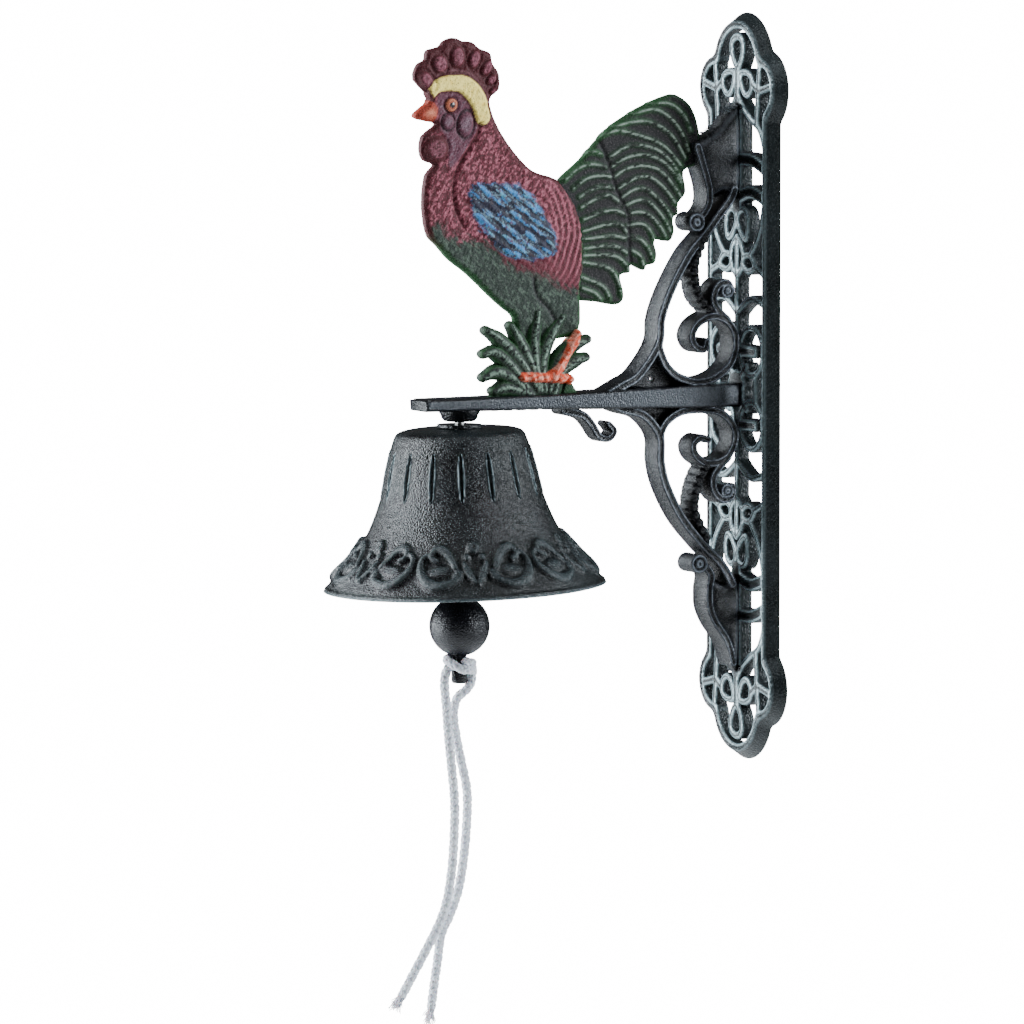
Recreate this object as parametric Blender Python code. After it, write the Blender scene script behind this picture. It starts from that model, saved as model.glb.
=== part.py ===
"""Cast iron wall bell on a scrolled bracket with a rooster, built as separate named pieces.

Metres, +Z up. The origin is the centre of the wall plate's back, the arm runs along -Y, and
the lists of places below are in millimetres, turned into metres by MM.
"""

import math

import bmesh
import bpy
from mathutils import Vector
from mathutils.geometry import delaunay_2d_cdt

MM = 0.001
GAP = 0.3                     # between pieces that touch on the real bell

# Wall plate: a long openwork casting with a three-lobed end at the top and the bottom.
PLATE_DEPTH = 5.5
PLATE_DRAFT = 3.0             # the back outline is this much larger all round
PLATE_HALF_WIDTH = 25.0
PLATE_STRAIGHT_END = 111.0
LOBE_PLACE, LOBE_RADIUS = (19.0, 121.5), 12.7
DOME_PLACE, DOME_RADIUS = (0.0, 129.8), 19.5
RIM_WIDTH = 3.6
BAR_HALF = 1.0
FIELD_STEP = 1.0              # grid on which the plate's outline is read
SCREW_HEIGHT = 92.0
SCREW_RADIUS, SCREW_HEAD_RADIUS = 2.0, 4.0
SCREW_SINK, SCREW_TIP = 0.2, -14.0    # the head lies below the plate's back

# Bracket
STRAP_WIDTH, STRAP_THICK = 12.0, 3.4
SPANDREL_THICK = 4.0
ARM_Z = -2.9
ARM_TIP, ARM_END = -150.0, -PLATE_DEPTH - GAP
BEAD_RADIUS, BEAD_NECK, BEAD_REACH = 1.7, 0.72, 4.6

# Bell, turned about its hanging bolt
BELL_Y = -131.3
BELL_TOP = -12.3
BELL_WALL = 2.8
BOLT_RADIUS = 2.0
EYE_Z, EYE_RADIUS, EYE_WIRE = -28.0, 3.4, 1.2
LINK_TOP, LINK_BOTTOM, LINK_HALF, LINK_WIRE = -28.9, -38.9, 3.0, 1.0
ROD_EYE_RADIUS, ROD_RADIUS, ROD_EYE_WIRE = 3.0, 1.7, 1.0
BALL_Z, BALL_RADIUS = -92.2, 12.25
NUB_RADIUS, NUB_WAIST, NUB_END = 3.3, 2.6, -115.3
HITCH_Z, ROPE_RADIUS = -107.4, 1.85

# Rooster: a flat casting in relief that stands on the arm
BODY_THICK, TAIL_THICK, GRASS_THICK = 5.2, 4.6, 6.0


def material(name, colour, roughness, metallic):
    made = bpy.data.materials.new(name)
    made.use_nodes = True
    shader = made.node_tree.nodes["Principled BSDF"]
    shader.inputs["Base Color"].default_value = (*colour, 1.0)
    shader.inputs["Roughness"].default_value = roughness
    shader.inputs["Metallic"].default_value = metallic
    made.diffuse_color = (*colour, 1.0)
    return made


IRON = ((0.045, 0.055, 0.055), 0.45, 0.6)
BELL_IRON = ((0.040, 0.050, 0.048), 0.42, 0.6)
STEEL = ((0.30, 0.30, 0.29), 0.35, 1.0)
MAROON = ((0.20, 0.04, 0.06), 0.45, 0.1)
TAIL_GREEN = ((0.05, 0.11, 0.06), 0.45, 0.2)
GRASS_GREEN = ((0.04, 0.13, 0.05), 0.45, 0.2)
COTTON = ((0.85, 0.83, 0.78), 0.90, 0.0)


def place(name, mesh, finish, smooth_angle=None):
    """An object of this mesh, with a material of its own."""
    thing = bpy.data.objects.new(name, mesh)
    bpy.context.scene.collection.objects.link(thing)
    thing.data.materials.append(material(name + "_finish", *finish))
    if smooth_angle is not None:
        mesh.shade_smooth()
        mesh.set_sharp_from_angle(angle=math.radians(smooth_angle))
    return thing


def mesh_from(name, points, faces):
    """A mesh from points in millimetres, with its faces turned outwards."""
    mesh = bpy.data.meshes.new(name)
    mesh.from_pydata([Vector(p) * MM for p in points], [], faces)
    work = bmesh.new()
    work.from_mesh(mesh)
    bmesh.ops.recalc_face_normals(work, faces=work.faces)
    work.to_mesh(mesh)
    work.free()
    return mesh


def smooth_line(route, pieces, closed=False):
    """Points on a Catmull-Rom curve through the route's points."""
    route = [Vector(p) for p in route]
    count = len(route)
    spans = count if closed else count - 1
    line = []
    for i in range(spans):
        if closed:
            a, b, c, d = (route[(i + k) % count] for k in (-1, 0, 1, 2))
        else:
            a, b, c, d = (route[min(max(i + k, 0), count - 1)] for k in (-1, 0, 1, 2))
        for step in range(pieces):
            t = step / pieces
            line.append(0.5 * (2 * b + (c - a) * t + (2 * a - 5 * b + 4 * c - d) * t * t
                               + (3 * b - a - 3 * c + d) * t ** 3))
    if not closed:
        line.append(route[-1])
    return line


def even_line(line, count):
    """The line read again at evenly spaced points."""
    lengths = [0.0]
    for a, b in zip(line, line[1:]):
        lengths.append(lengths[-1] + (b - a).length)
    even, at = [], 0
    for i in range(count):
        want = lengths[-1] * i / (count - 1)
        while at < len(line) - 2 and lengths[at + 1] < want:
            at += 1
        share = (want - lengths[at]) / max(lengths[at + 1] - lengths[at], 1e-9)
        even.append(line[at].lerp(line[at + 1], min(max(share, 0.0), 1.0)))
    return even


def ring_faces(rings, around):
    """Quads between rings of points, with a cap on each end."""
    faces = []
    for r in range(rings - 1):
        for k in range(around):
            n = (k + 1) % around
            faces.append((r * around + k, r * around + n,
                          (r + 1) * around + n, (r + 1) * around + k))
    faces.append(tuple(range(around)))
    faces.append(tuple((rings - 1) * around + k for k in range(around)))
    return faces


def strap(name, route, finish, width=STRAP_WIDTH, thick=STRAP_THICK, end_thick=None,
          count=16):
    """A flat bar, broad along X, along a route of (y, z) places in the bracket's plane."""
    line = even_line(smooth_line(route, 10), count)
    points = []
    for i, here in enumerate(line):
        along = (line[min(i + 1, count - 1)] - line[max(i - 1, 0)]).normalized()
        side = Vector((-along.y, along.x))
        share = i / (count - 1)
        half = 0.5 * (thick + ((end_thick or thick) - thick) * share)
        for x, s in ((-1, -1), (1, -1), (1, 1), (-1, 1)):
            spot = here + side * half * s
            points.append((x * width / 2, spot.x, spot.y))
    return place(name, mesh_from(name, points, ring_faces(count, 4)), finish)


def extruded(name, outline, thick, finish, pieces=2, smooth=True):
    """A flat piece of even thickness along X, with a closed outline of (y, z) places."""
    line = smooth_line(outline, pieces, closed=True) if smooth else [Vector(p) for p in outline]
    count = len(line)
    points = [(-thick / 2, p.x, p.y) for p in line]
    points += [(thick / 2, p.x, p.y) for p in line]
    filled = delaunay_2d_cdt(line, [(i, (i + 1) % count) for i in range(count)], [], 1, 1e-6)
    faces = [tuple(f) for f in filled[2]]
    faces += [tuple(i + count for i in reversed(f)) for f in filled[2]]
    faces += [(i, (i + 1) % count, (i + 1) % count + count, i + count) for i in range(count)]
    return place(name, mesh_from(name, points, faces), finish)


def turned(name, profile, finish, centre_y, around=40, smooth_angle=35):
    """A solid turned about a vertical axis, from a closed profile of (radius, z) places."""
    points, faces, rings = [], [], []
    for radius, z in profile:
        if radius == 0:
            rings.append([len(points)] * around)
            points.append((0, centre_y, z))
            continue
        rings.append([len(points) + k for k in range(around)])
        for k in range(around):
            turn = 2 * math.pi * k / around
            points.append((radius * math.cos(turn), centre_y + radius * math.sin(turn), z))
    on_axis = profile[0][0] == 0
    loops = list(zip(rings, rings[1:])) if on_axis else list(zip(rings, rings[1:] + rings[:1]))
    for upper, lower in loops:
        for k in range(around):
            n = (k + 1) % around
            corners = [upper[k], upper[n], lower[n], lower[k]]
            face = tuple(dict.fromkeys(corners))
            if len(face) > 2:
                faces.append(face)
    return place(name, mesh_from(name, points, faces), finish, smooth_angle)


def tube(name, line, radius, finish, closed=False, radii=None):
    """A round bar along a line of (x, y, z) places."""
    curve = bpy.data.curves.new(name, "CURVE")
    curve.dimensions = "3D"
    curve.bevel_depth = radius * MM
    curve.bevel_resolution = 2
    curve.use_fill_caps = not closed
    spline = curve.splines.new("POLY")
    spline.points.add(len(line) - 1)
    for i, spot in enumerate(line):
        spline.points[i].co = (*(Vector(spot) * MM), 1.0)
        spline.points[i].radius = radii[i] if radii else 1.0
    spline.use_cyclic_u = closed
    spline.use_smooth = True
    thing = bpy.data.objects.new(name, curve)
    bpy.context.scene.collection.objects.link(thing)
    curve.materials.append(material(name + "_finish", *finish))
    return thing


def cut(thing, cutter):
    """Takes the cutter's shape out of the thing."""
    cutter.hide_render = True
    cutter.display_type = "WIRE"
    taken = thing.modifiers.new("cut", "BOOLEAN")
    taken.operation = "DIFFERENCE"
    taken.solver = "EXACT"
    taken.object = cutter


def rod_along_y(name, profile, z):
    """A solid turned about a level axis, from (radius, y) places that start and end on it."""
    thing = turned(name, profile, STEEL, 0.0, around=24)
    for vertex in thing.data.vertices:
        x, y, along = vertex.co
        vertex.co = (x, along, y + z * MM)
    thing.data.flip_normals()
    return thing


# --------------------------------------------------------------------------- wall plate

def teardrop(centre, half_width, half_height, lean=0.0, points=18):
    """A closed drop, pointed at its lower end, leaning sideways by an angle."""
    line = []
    for i in range(points):
        turn = 2 * math.pi * i / points
        x = half_width * math.sin(turn) * (1 + 0.35 * math.cos(turn))
        y = half_height * math.cos(turn)
        line.append((centre[0] + x * math.cos(lean) + y * math.sin(lean),
                     centre[1] - x * math.sin(lean) + y * math.cos(lean)))
    return line + line[:1]


def circle(centre, radius, points=20):
    return [(centre[0] + radius * math.cos(2 * math.pi * i / points),
             centre[1] + radius * math.sin(2 * math.pi * i / points))
            for i in range(points + 1)]


# The lattice's bars, (half width, line) in one quarter of the plate, across and up from its
# middle. The other quarters mirror it.
LATTICE = [
    (BAR_HALF, circle((12.2, 15.0), 9.6)),
    (2.0, [(4.0, 15.0), (15.0, 15.0)]),
    (1.4, [(4.0, 5.0), (8.0, 8.6)]),
    (BAR_HALF, [(15.5, 0), (15.5, 6)]),
    (BAR_HALF, [(0, 22), (0, 40)]),
    (BAR_HALF, [(0, 30), (6, 34), (13, 36.5), (24, 34)]),
    (BAR_HALF, [(0, 45), (4, 48.5), (5.3, 53), (3.6, 58), (0, 61)]),
    (BAR_HALF, [(0, 40), (0, 61)]),
    (BAR_HALF, [(4.5, 50), (9, 47.6), (15, 49.5), (11, 54), (5.3, 53.5)]),
    (BAR_HALF, [(15, 49.5), (24, 46)]),
    (BAR_HALF, [(11, 54), (16.5, 60), (20.5, 67), (23, 76)]),
    (BAR_HALF, teardrop((5.4, 66.5), 3.9, 6.2, -0.35)),
    (3.4, [(0, 74), (0, 114)]),
    (1.6, [(3, 93), (14, 92.5), (24, 89)]),
    (1.6, [(3, 78), (12, 80), (24, 77)]),
    (BAR_HALF, [(0, 119.5), (5, 113.5), (12, 109), (19, 105), (23, 98)]),
    (BAR_HALF, teardrop((0, 136.4), 4.7, 6.2)),
    (BAR_HALF, teardrop((7.2, 124.2), 4.2, 5.4, 2.2)),
    (1.4, [(0, 112), (0, 129)]),
    (1.3, [(12.5, 124.0), (17.6, 120.8)]),
    (1.3, [(17.6, 120.8), (30, 123.5)]),
    (1.3, [(17.6, 120.8), (16.5, 108)]),
    (1.3, [(17.6, 120.8), (19, 133)]),
]
CENTRE_PAD = 7.5


def to_segment(u, v, a, b):
    du, dv = b[0] - a[0], b[1] - a[1]
    share = ((u - a[0]) * du + (v - a[1]) * dv) / (du * du + dv * dv)
    share = min(max(share, 0.0), 1.0)
    return math.hypot(u - a[0] - share * du, v - a[1] - share * dv)


def outline_field(u, v):
    """Distance outside the plate's front outline, negative inside it."""
    u, v = abs(u), abs(v)
    body = max(u - PLATE_HALF_WIDTH, v - PLATE_STRAIGHT_END - 14)
    lobe = math.hypot(u - LOBE_PLACE[0], v - LOBE_PLACE[1]) - LOBE_RADIUS
    dome = math.hypot(u - DOME_PLACE[0], v - DOME_PLACE[1]) - DOME_RADIUS
    return min(body, lobe, dome)


def plate_field(u, v):
    """Distance outside the plate's iron, negative inside it."""
    outside = outline_field(u, v)
    u, v = abs(u), abs(v)
    iron = min(-RIM_WIDTH - outside, math.hypot(u, v) - CENTRE_PAD)
    for half, line in LATTICE:
        for a, b in zip(line, line[1:]):
            iron = min(iron, to_segment(u, v, a, b) - half)
            iron = min(iron, to_segment(-u, v, a, b) - half)
    return max(outside, iron)


def contour_loops(field, half_u, half_v, step):
    """Closed loops of places where the field is zero, read from a grid of squares."""
    columns, rows = int(2 * half_u / step) + 2, int(2 * half_v / step) + 2
    value = [[field(i * step - half_u, j * step - half_v) for j in range(rows)]
             for i in range(columns)]
    joined = {}
    for i in range(columns - 1):
        for j in range(rows - 1):
            corners = [(i, j), (i + 1, j), (i + 1, j + 1), (i, j + 1)]
            inside = [value[c][r] < 0 for c, r in corners]
            edges = [(min(corners[k], corners[k - 1]), max(corners[k], corners[k - 1]))
                     for k in range(4) if inside[k] != inside[k - 1]]
            if len(edges) == 4 and not inside[0]:
                edges = edges[1:] + edges[:1]
            for a, b in zip(edges[0::2], edges[1::2]):
                joined.setdefault(a, []).append(b)
                joined.setdefault(b, []).append(a)
    loops, seen = [], set()
    for start in joined:
        if start in seen:
            continue
        loop, here, before = [], start, None
        while here not in seen:
            seen.add(here)
            (i, j), (m, n) = here
            share = value[i][j] / (value[i][j] - value[m][n])
            loop.append(Vector((step * (i + share * (m - i)) - half_u,
                                step * (j + share * (n - j)) - half_v)))
            onward = [edge for edge in joined[here] if edge != before and edge not in seen]
            before = here
            if onward:
                here = onward[0]
        loops.append(loop)
    return loops


def thinned(loop, slack):
    """The loop without the points that lie within the slack of a straight line."""
    def keep(line):
        a, b = line[0], line[-1]
        way = (b - a).normalized()
        off = [abs((p - a).cross(way)) if way.length else (p - a).length for p in line]
        worst = max(range(len(line)), key=off.__getitem__)
        if off[worst] <= slack or len(line) < 3:
            return [a]
        return keep(line[:worst + 1]) + keep(line[worst:])
    half = len(loop) // 2
    return keep(loop[:half + 1]) + keep(loop[half:] + loop[:1])


def inside_loops(spot, loops):
    """Whether an odd number of the loops hold this place."""
    odd = False
    for loop in loops:
        for a, b in zip(loop, loop[1:] + loop[:1]):
            if (a.y > spot.y) != (b.y > spot.y):
                if spot.x < a.x + (spot.y - a.y) * (b.x - a.x) / (b.y - a.y):
                    odd = not odd
    return odd


def make_wall_plate():
    """The openwork plate, with its outer wall sloping out towards the back."""
    half_v = DOME_PLACE[1] + DOME_RADIUS + 2
    loops = contour_loops(plate_field, PLATE_HALF_WIDTH + 9, half_v, FIELD_STEP)
    loops = [thinned(loop, 0.2) for loop in loops if len(loop) > 8]
    loops.sort(key=lambda loop: -max(p.y for p in loop))
    outer = loops[0]
    points = [p for loop in loops for p in loop]
    edges, first = [], 0
    for loop in loops:
        edges += [(first + k, first + (k + 1) % len(loop)) for k in range(len(loop))]
        first += len(loop)
    filled = delaunay_2d_cdt(points, edges, [], 1, 1e-6)
    kept = [f for f in filled[2]
            if inside_loops((points[f[0]] + points[f[1]] + points[f[2]]) / 3, loops)]
    back = []
    for k, p in enumerate(points):
        if k < len(outer):
            way = (outer[(k + 1) % len(outer)] - outer[k - 1]).normalized()
            side = Vector((way.y, -way.x))
            if outline_field(*(p + side)) < 0:
                side = -side
            p = p + side * PLATE_DRAFT
        back.append((p.x, 0, p.y))
    front = [(p.x, -PLATE_DEPTH, p.y) for p in points]
    count = len(points)
    faces = [tuple(f) for f in kept] + [tuple(i + count for i in reversed(f)) for f in kept]
    faces += [(a, b, b + count, a + count) for a, b in edges]
    plate = place("wall_plate", mesh_from("wall_plate", front + back, faces), IRON)
    for z in (SCREW_HEIGHT, -SCREW_HEIGHT):
        head = SCREW_HEAD_RADIUS + GAP
        hole = SCREW_RADIUS + GAP
        profile = [(0, 1), (head, 1), (head, -0.9), (hole, -3.2), (hole, -8), (0, -8)]
        cut(plate, rod_along_y(f"plate_cutter_{z:.0f}", profile, z))
    return plate


# --------------------------------------------------------------------------- bracket

def make_arm():
    """The level bar: flat at its tip and deeper towards the wall."""
    heights = [(ARM_TIP, 2.4), (ARM_TIP + 3, 2.6), (-100.0, 2.8), (-60.0, 3.6), (-30.0, 4.4),
               (-14.0, 4.6), (-12.0, 3.6), (ARM_END, 3.6)]
    widths = [7.2, 8.0, 8.0, 8.0, 7.5, 7.0, 4.5, 4.5]
    points = []
    for (y, half), broad in zip(heights, widths):
        for x, s in ((-1, -1), (1, -1), (1, 1), (-1, 1)):
            points.append((x * broad, y, ARM_Z + s * half))
    faces = ring_faces(len(heights), 4)
    arm = place("bracket_arm", mesh_from("bracket_arm", points, faces), IRON)
    cut(arm, turned("arm_cutter", [(0, 0), (BOLT_RADIUS + GAP, 0), (BOLT_RADIUS + GAP, -9),
                                   (0, -9)][::-1], STEEL, BELL_Y, around=24))
    return arm


# Routes in the bracket's plane, (y, z). Each stops short of its neighbours.
UPPER_BRACE = [(-58.0, 4.4), (-49.5, 10.4), (-44.6, 19.0), (-43.4, 29.0), (-40.4, 38.0),
               (-35.2, 48.0), (-29.0, 56.4), (-22.4, 63.8), (-16.0, 71.4), (-11.2, 78.4)]
LOWER_BRACE = [(-56.0, -9.4), (-49.6, -11.6), (-44.2, -18.4), (-42.9, -29.2), (-39.8, -39.9),
               (-32.9, -52.4), (-24.2, -62.6), (-15.6, -71.8), (-10.6, -79.6)]
UPPER_RING = [(-41.4, 17.0), (-38.2, 10.6), (-33.0, 6.3), (-27.0, 4.6), (-19.0, 5.6),
              (-12.6, 9.8), (-9.6, 16.0), (-10.4, 23.4), (-14.6, 29.5), (-18.2, 34.5),
              (-18.3, 39.5), (-15.0, 42.8), (-11.2, 41.6), (-10.2, 37.6)]
LOWER_RING = [(-39.6, -19.0), (-37.2, -13.8), (-33.0, -10.4), (-27.0, -9.3), (-19.0, -9.9),
              (-12.6, -13.0), (-9.6, -17.8), (-9.6, -23.2), (-12.4, -28.8), (-16.4, -33.2),
              (-18.6, -37.6), (-17.8, -42.6), (-14.4, -45.6), (-10.8, -44.4), (-10.2, -40.8)]
UPPER_SPIRAL = [(-17.4, 27.4), (-22.6, 28.4), (-27.4, 25.2), (-28.6, 20.6), (-26.0, 16.6),
                (-22.0, 16.6), (-20.6, 19.6)]
LOWER_SPIRAL = [(-18.6, -29.4), (-23.0, -29.2), (-27.0, -26.2), (-27.6, -22.2), (-24.6, -19.4),
                (-21.4, -20.2)]
UPPER_BEADS = [(-22.2, 57.6), (-25.4, 52.6), (-26.9, 46.4), (-26.4, 40.0), (-24.4, 36.2),
               (-22.0, 33.4)]
LOWER_BEADS = [(-22.4, -56.8), (-25.4, -51.6), (-26.6, -46.0), (-25.8, -40.0), (-23.6, -34.8)]
UPPER_FOOT = [(-19.0, 81.0), (-14.0, 84.2), (ARM_END, 84.6), (ARM_END, 118.0), (-8.2, 118.4),
              (-11.0, 112.6), (-17.6, 106.4), (-22.4, 100.4), (-24.6, 92.0), (-24.0, 83.0)]
LOWER_FOOT = [(-17.6, -79.6), (-13.4, -84.0), (ARM_END, -85.6), (ARM_END, -116.0),
              (-8.0, -117.0), (-10.0, -108.0), (-13.0, -101.2), (-18.0, -95.4),
              (-21.0, -89.0), (-21.0, -80.4)]
HOOK = [(-84.5, -8.3), (-77.6, -9.6), (-73.4, -13.6), (-69.8, -18.4), (-65.6, -19.0),
        (-63.4, -16.0), (-65.4, -13.0)]
UPPER_SPANDREL = [(-50.4, 3.0), (-45.8, 8.6), (-43.4, 15.4), (-40.6, 9.0), (-35.4, 3.0)]
LOWER_SPANDREL = [(-47.0, -8.8), (-43.6, -12.8), (-41.8, -16.4), (-40.2, -12.6), (-36.4, -8.8)]
VOLUTE_RADIUS = 3.6
UPPER_VOLUTE, LOWER_VOLUTE = (-27.0, 68.6), (-25.4, -71.4)


def make_beads(name, route):
    """A slim strap with a row of beads along each side face, in one body."""
    rings, around = 13, 10
    line = even_line(smooth_line(route, 10), rings)
    points = []
    for i, here in enumerate(line):
        along = (line[min(i + 1, rings - 1)] - line[max(i - 1, 0)]).normalized()
        side = Vector((-along.y, along.x))
        swell = BEAD_RADIUS * (1.0 if i % 2 else BEAD_NECK)
        for k in range(around):
            turn = 2 * math.pi * (k + 0.5) / around
            x = BEAD_REACH * math.copysign(abs(math.cos(turn)) ** 0.6, math.cos(turn))
            spot = here + side * swell * math.sin(turn)
            points.append((x, spot.x, spot.y))
    return place(name, mesh_from(name, points, ring_faces(rings, around)), IRON, 40)


def make_foot(name, outline, screw_z):
    """The tongue that lies on the plate, with the web between it and the brace."""
    foot = extruded(name, outline, STRAP_WIDTH - 2, IRON, smooth=False)
    hole = SCREW_RADIUS + GAP
    bore = [(0, -4), (hole, -4), (hole, SCREW_TIP - 1), (0, SCREW_TIP - 1)]
    cut(foot, rod_along_y(name + "_cutter", bore, screw_z))


def make_bracket():
    strap("upper_brace", UPPER_BRACE, IRON)
    strap("lower_brace", LOWER_BRACE, IRON)
    strap("upper_ring", UPPER_RING, IRON, thick=3.0, count=30)
    strap("lower_ring", LOWER_RING, IRON, thick=3.0, count=30)
    strap("upper_spiral", UPPER_SPIRAL, IRON, thick=3.4, end_thick=2.2, count=18)
    strap("lower_spiral", LOWER_SPIRAL, IRON, thick=3.4, end_thick=2.2, count=18)
    make_beads("upper_bead_strap", UPPER_BEADS)
    make_beads("lower_bead_strap", LOWER_BEADS)
    make_foot("upper_foot", UPPER_FOOT, SCREW_HEIGHT)
    make_foot("lower_foot", LOWER_FOOT, -SCREW_HEIGHT)
    for name, middle in (("upper_volute", UPPER_VOLUTE), ("lower_volute", LOWER_VOLUTE)):
        extruded(name, circle(middle, VOLUTE_RADIUS, 12)[:-1], STRAP_WIDTH, IRON, smooth=False)
    strap("arm_curl", HOOK, IRON, thick=3.4, end_thick=2.0, width=9.0)
    extruded("upper_spandrel", UPPER_SPANDREL, SPANDREL_THICK, IRON, smooth=False)
    extruded("lower_spandrel", LOWER_SPANDREL, SPANDREL_THICK, IRON, smooth=False)
    for name, z in (("upper_bracket_screw", SCREW_HEIGHT), ("lower_bracket_screw", -SCREW_HEIGHT)):
        profile = [(0, -SCREW_SINK), (SCREW_HEAD_RADIUS, -SCREW_SINK), (SCREW_HEAD_RADIUS, -1.2),
                   (SCREW_RADIUS, -3.2), (SCREW_RADIUS, SCREW_TIP), (0, SCREW_TIP)]
        rod_along_y(name, profile, z)


# --------------------------------------------------------------------------- rooster

BODY = [(-144.8, 120.0), (-150.2, 127.7), (-148.9, 133.3), (-146.0, 135.0), (-145.0, 139.0),
        (-139.8, 140.2), (-138.6, 142.8), (-134.2, 144.2), (-130.6, 142.8), (-126.4, 142.4),
        (-122.6, 139.6), (-118.8, 137.4), (-117.4, 132.6), (-115.2, 129.4), (-115.0, 123.4),
        (-118.4, 119.2), (-116.5, 111.8), (-112.3, 104.3), (-106.0, 96.4), (-98.8, 90.0),
        (-88.6, 86.6), (-82.2, 80.0), (-78.2, 72.4), (-76.4, 62.0), (-76.4, 50.0),
        (-78.0, 40.0), (-77.6, 31.2), (-80.0, 26.6), (-90.0, 27.4), (-104.4, 26.8),
        (-107.6, 31.5), (-111.8, 35.1), (-117.4, 39.7), (-128.4, 49.6), (-136.4, 55.4),
        (-141.8, 61.2), (-144.8, 65.3), (-146.6, 73.3), (-146.9, 80.9), (-145.5, 89.4),
        (-142.4, 93.4), (-146.0, 95.2), (-147.9, 99.0), (-146.8, 105.1), (-142.2, 109.6),
        (-146.6, 111.0), (-150.8, 112.1), (-151.6, 114.2)]
TAIL = [(-86.0, 86.6), (-77.0, 94.2), (-65.2, 106.0), (-50.4, 114.6), (-37.6, 119.4),
        (-32.9, 119.1), (-27.8, 114.9), (-24.8, 107.8), (-24.0, 100.0), (-31.9, 89.1),
        (-30.3, 81.8), (-34.3, 74.6), (-35.2, 67.7), (-37.9, 60.3), (-44.7, 61.9),
        (-43.7, 52.9), (-49.2, 48.6), (-54.7, 50.8), (-60.4, 46.9), (-58.5, 39.3),
        (-61.5, 35.4), (-70.0, 36.4), (-76.2, 39.6), (-75.0, 50.0), (-75.0, 62.0),
        (-76.8, 73.0), (-80.8, 80.8)]
GRASS = [(-117.4, 0.4), (-122.2, 7.6), (-122.3, 17.9), (-119.9, 27.4), (-114.8, 20.6),
         (-112.0, 16.4), (-107.0, 22.6), (-103.4, 26.0), (-90.0, 26.6), (-79.6, 25.8),
         (-72.4, 21.8), (-79.0, 19.4), (-72.9, 14.8), (-80.4, 9.0), (-77.0, 0.4)]


def make_rooster():
    extruded("rooster_body", BODY, BODY_THICK, MAROON)
    extruded("rooster_tail", TAIL, TAIL_THICK, TAIL_GREEN)
    extruded("grass_base", GRASS, GRASS_THICK, GRASS_GREEN, smooth=False)


# --------------------------------------------------------------------------- bell and clapper

# The outside of the bell, (radius, depth below its top), crown to lip.
BELL_OUTER = [(8.0, 0.0), (20.0, 0.5), (25.0, 1.4), (26.5, 3.2), (28.6, 10.0), (30.7, 18.6),
              (32.5, 26.6), (35.4, 34.6), (38.4, 41.2), (41.8, 46.6), (46.2, 52.0),
              (50.6, 56.4), (54.2, 60.6), (56.6, 64.4)]


def make_bell():
    inner = []
    for k in range(len(BELL_OUTER) - 1, 2, -1):
        r, d = BELL_OUTER[k]
        a, b = BELL_OUTER[k - 1], BELL_OUTER[min(k + 1, len(BELL_OUTER) - 1)]
        long = math.hypot(b[0] - a[0], b[1] - a[1])
        inner.append((r - BELL_WALL * (b[1] - a[1]) / long, d + BELL_WALL * (b[0] - a[0]) / long))
    lip = [(inner[0][0] + 0.6, BELL_OUTER[-1][1])]
    bore = BOLT_RADIUS + 0.4
    profile = [(bore, 0.0)] + BELL_OUTER + lip + inner[1:] + [(20.0, 4.0), (bore, 3.6)]
    turned("bell", [(r, BELL_TOP - d) for r, d in profile], BELL_IRON, BELL_Y, around=40)


def washer(name, inner, outer, top, thick):
    turned(name, [(inner, top), (outer, top), (outer, top - thick), (inner, top - thick)],
           STEEL, BELL_Y, around=24)


def make_hanger():
    turned("arm_boss", [(BOLT_RADIUS + GAP, -5.8), (7.8, -5.8), (7.2, -8.0), (6.2, -9.7),
                        (BOLT_RADIUS + GAP, -9.7)], IRON, BELL_Y, around=28)
    washer("crown_washer", BOLT_RADIUS + GAP, 9.0, -10.9, 1.1)
    washer("inner_washer", BOLT_RADIUS + GAP, 7.0, BELL_TOP - 3.9, 1.0)
    top, bottom = -17.5, -21.5
    turned("hanger_nut", [(BOLT_RADIUS + 0.8, top), (5.6, top), (5.6, bottom),
                          (BOLT_RADIUS + 0.8, bottom)], STEEL, BELL_Y, around=6, smooth_angle=20)
    line = [(0, BELL_Y, -2.5), (0, BELL_Y, -12), (0, BELL_Y, -22.0), (0, BELL_Y, -23.6)]
    sizes = [BOLT_RADIUS / EYE_WIRE] * 3 + [1.1]
    for k in range(15):
        turn = math.radians(90 - 24 * k * 0.93)
        line.append((0, BELL_Y + EYE_RADIUS * math.cos(turn),
                     EYE_Z + EYE_RADIUS * math.sin(turn)))
        sizes.append(1.0)
    tube("hanger_eye_bolt", line, EYE_WIRE, STEEL, radii=sizes)


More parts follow.
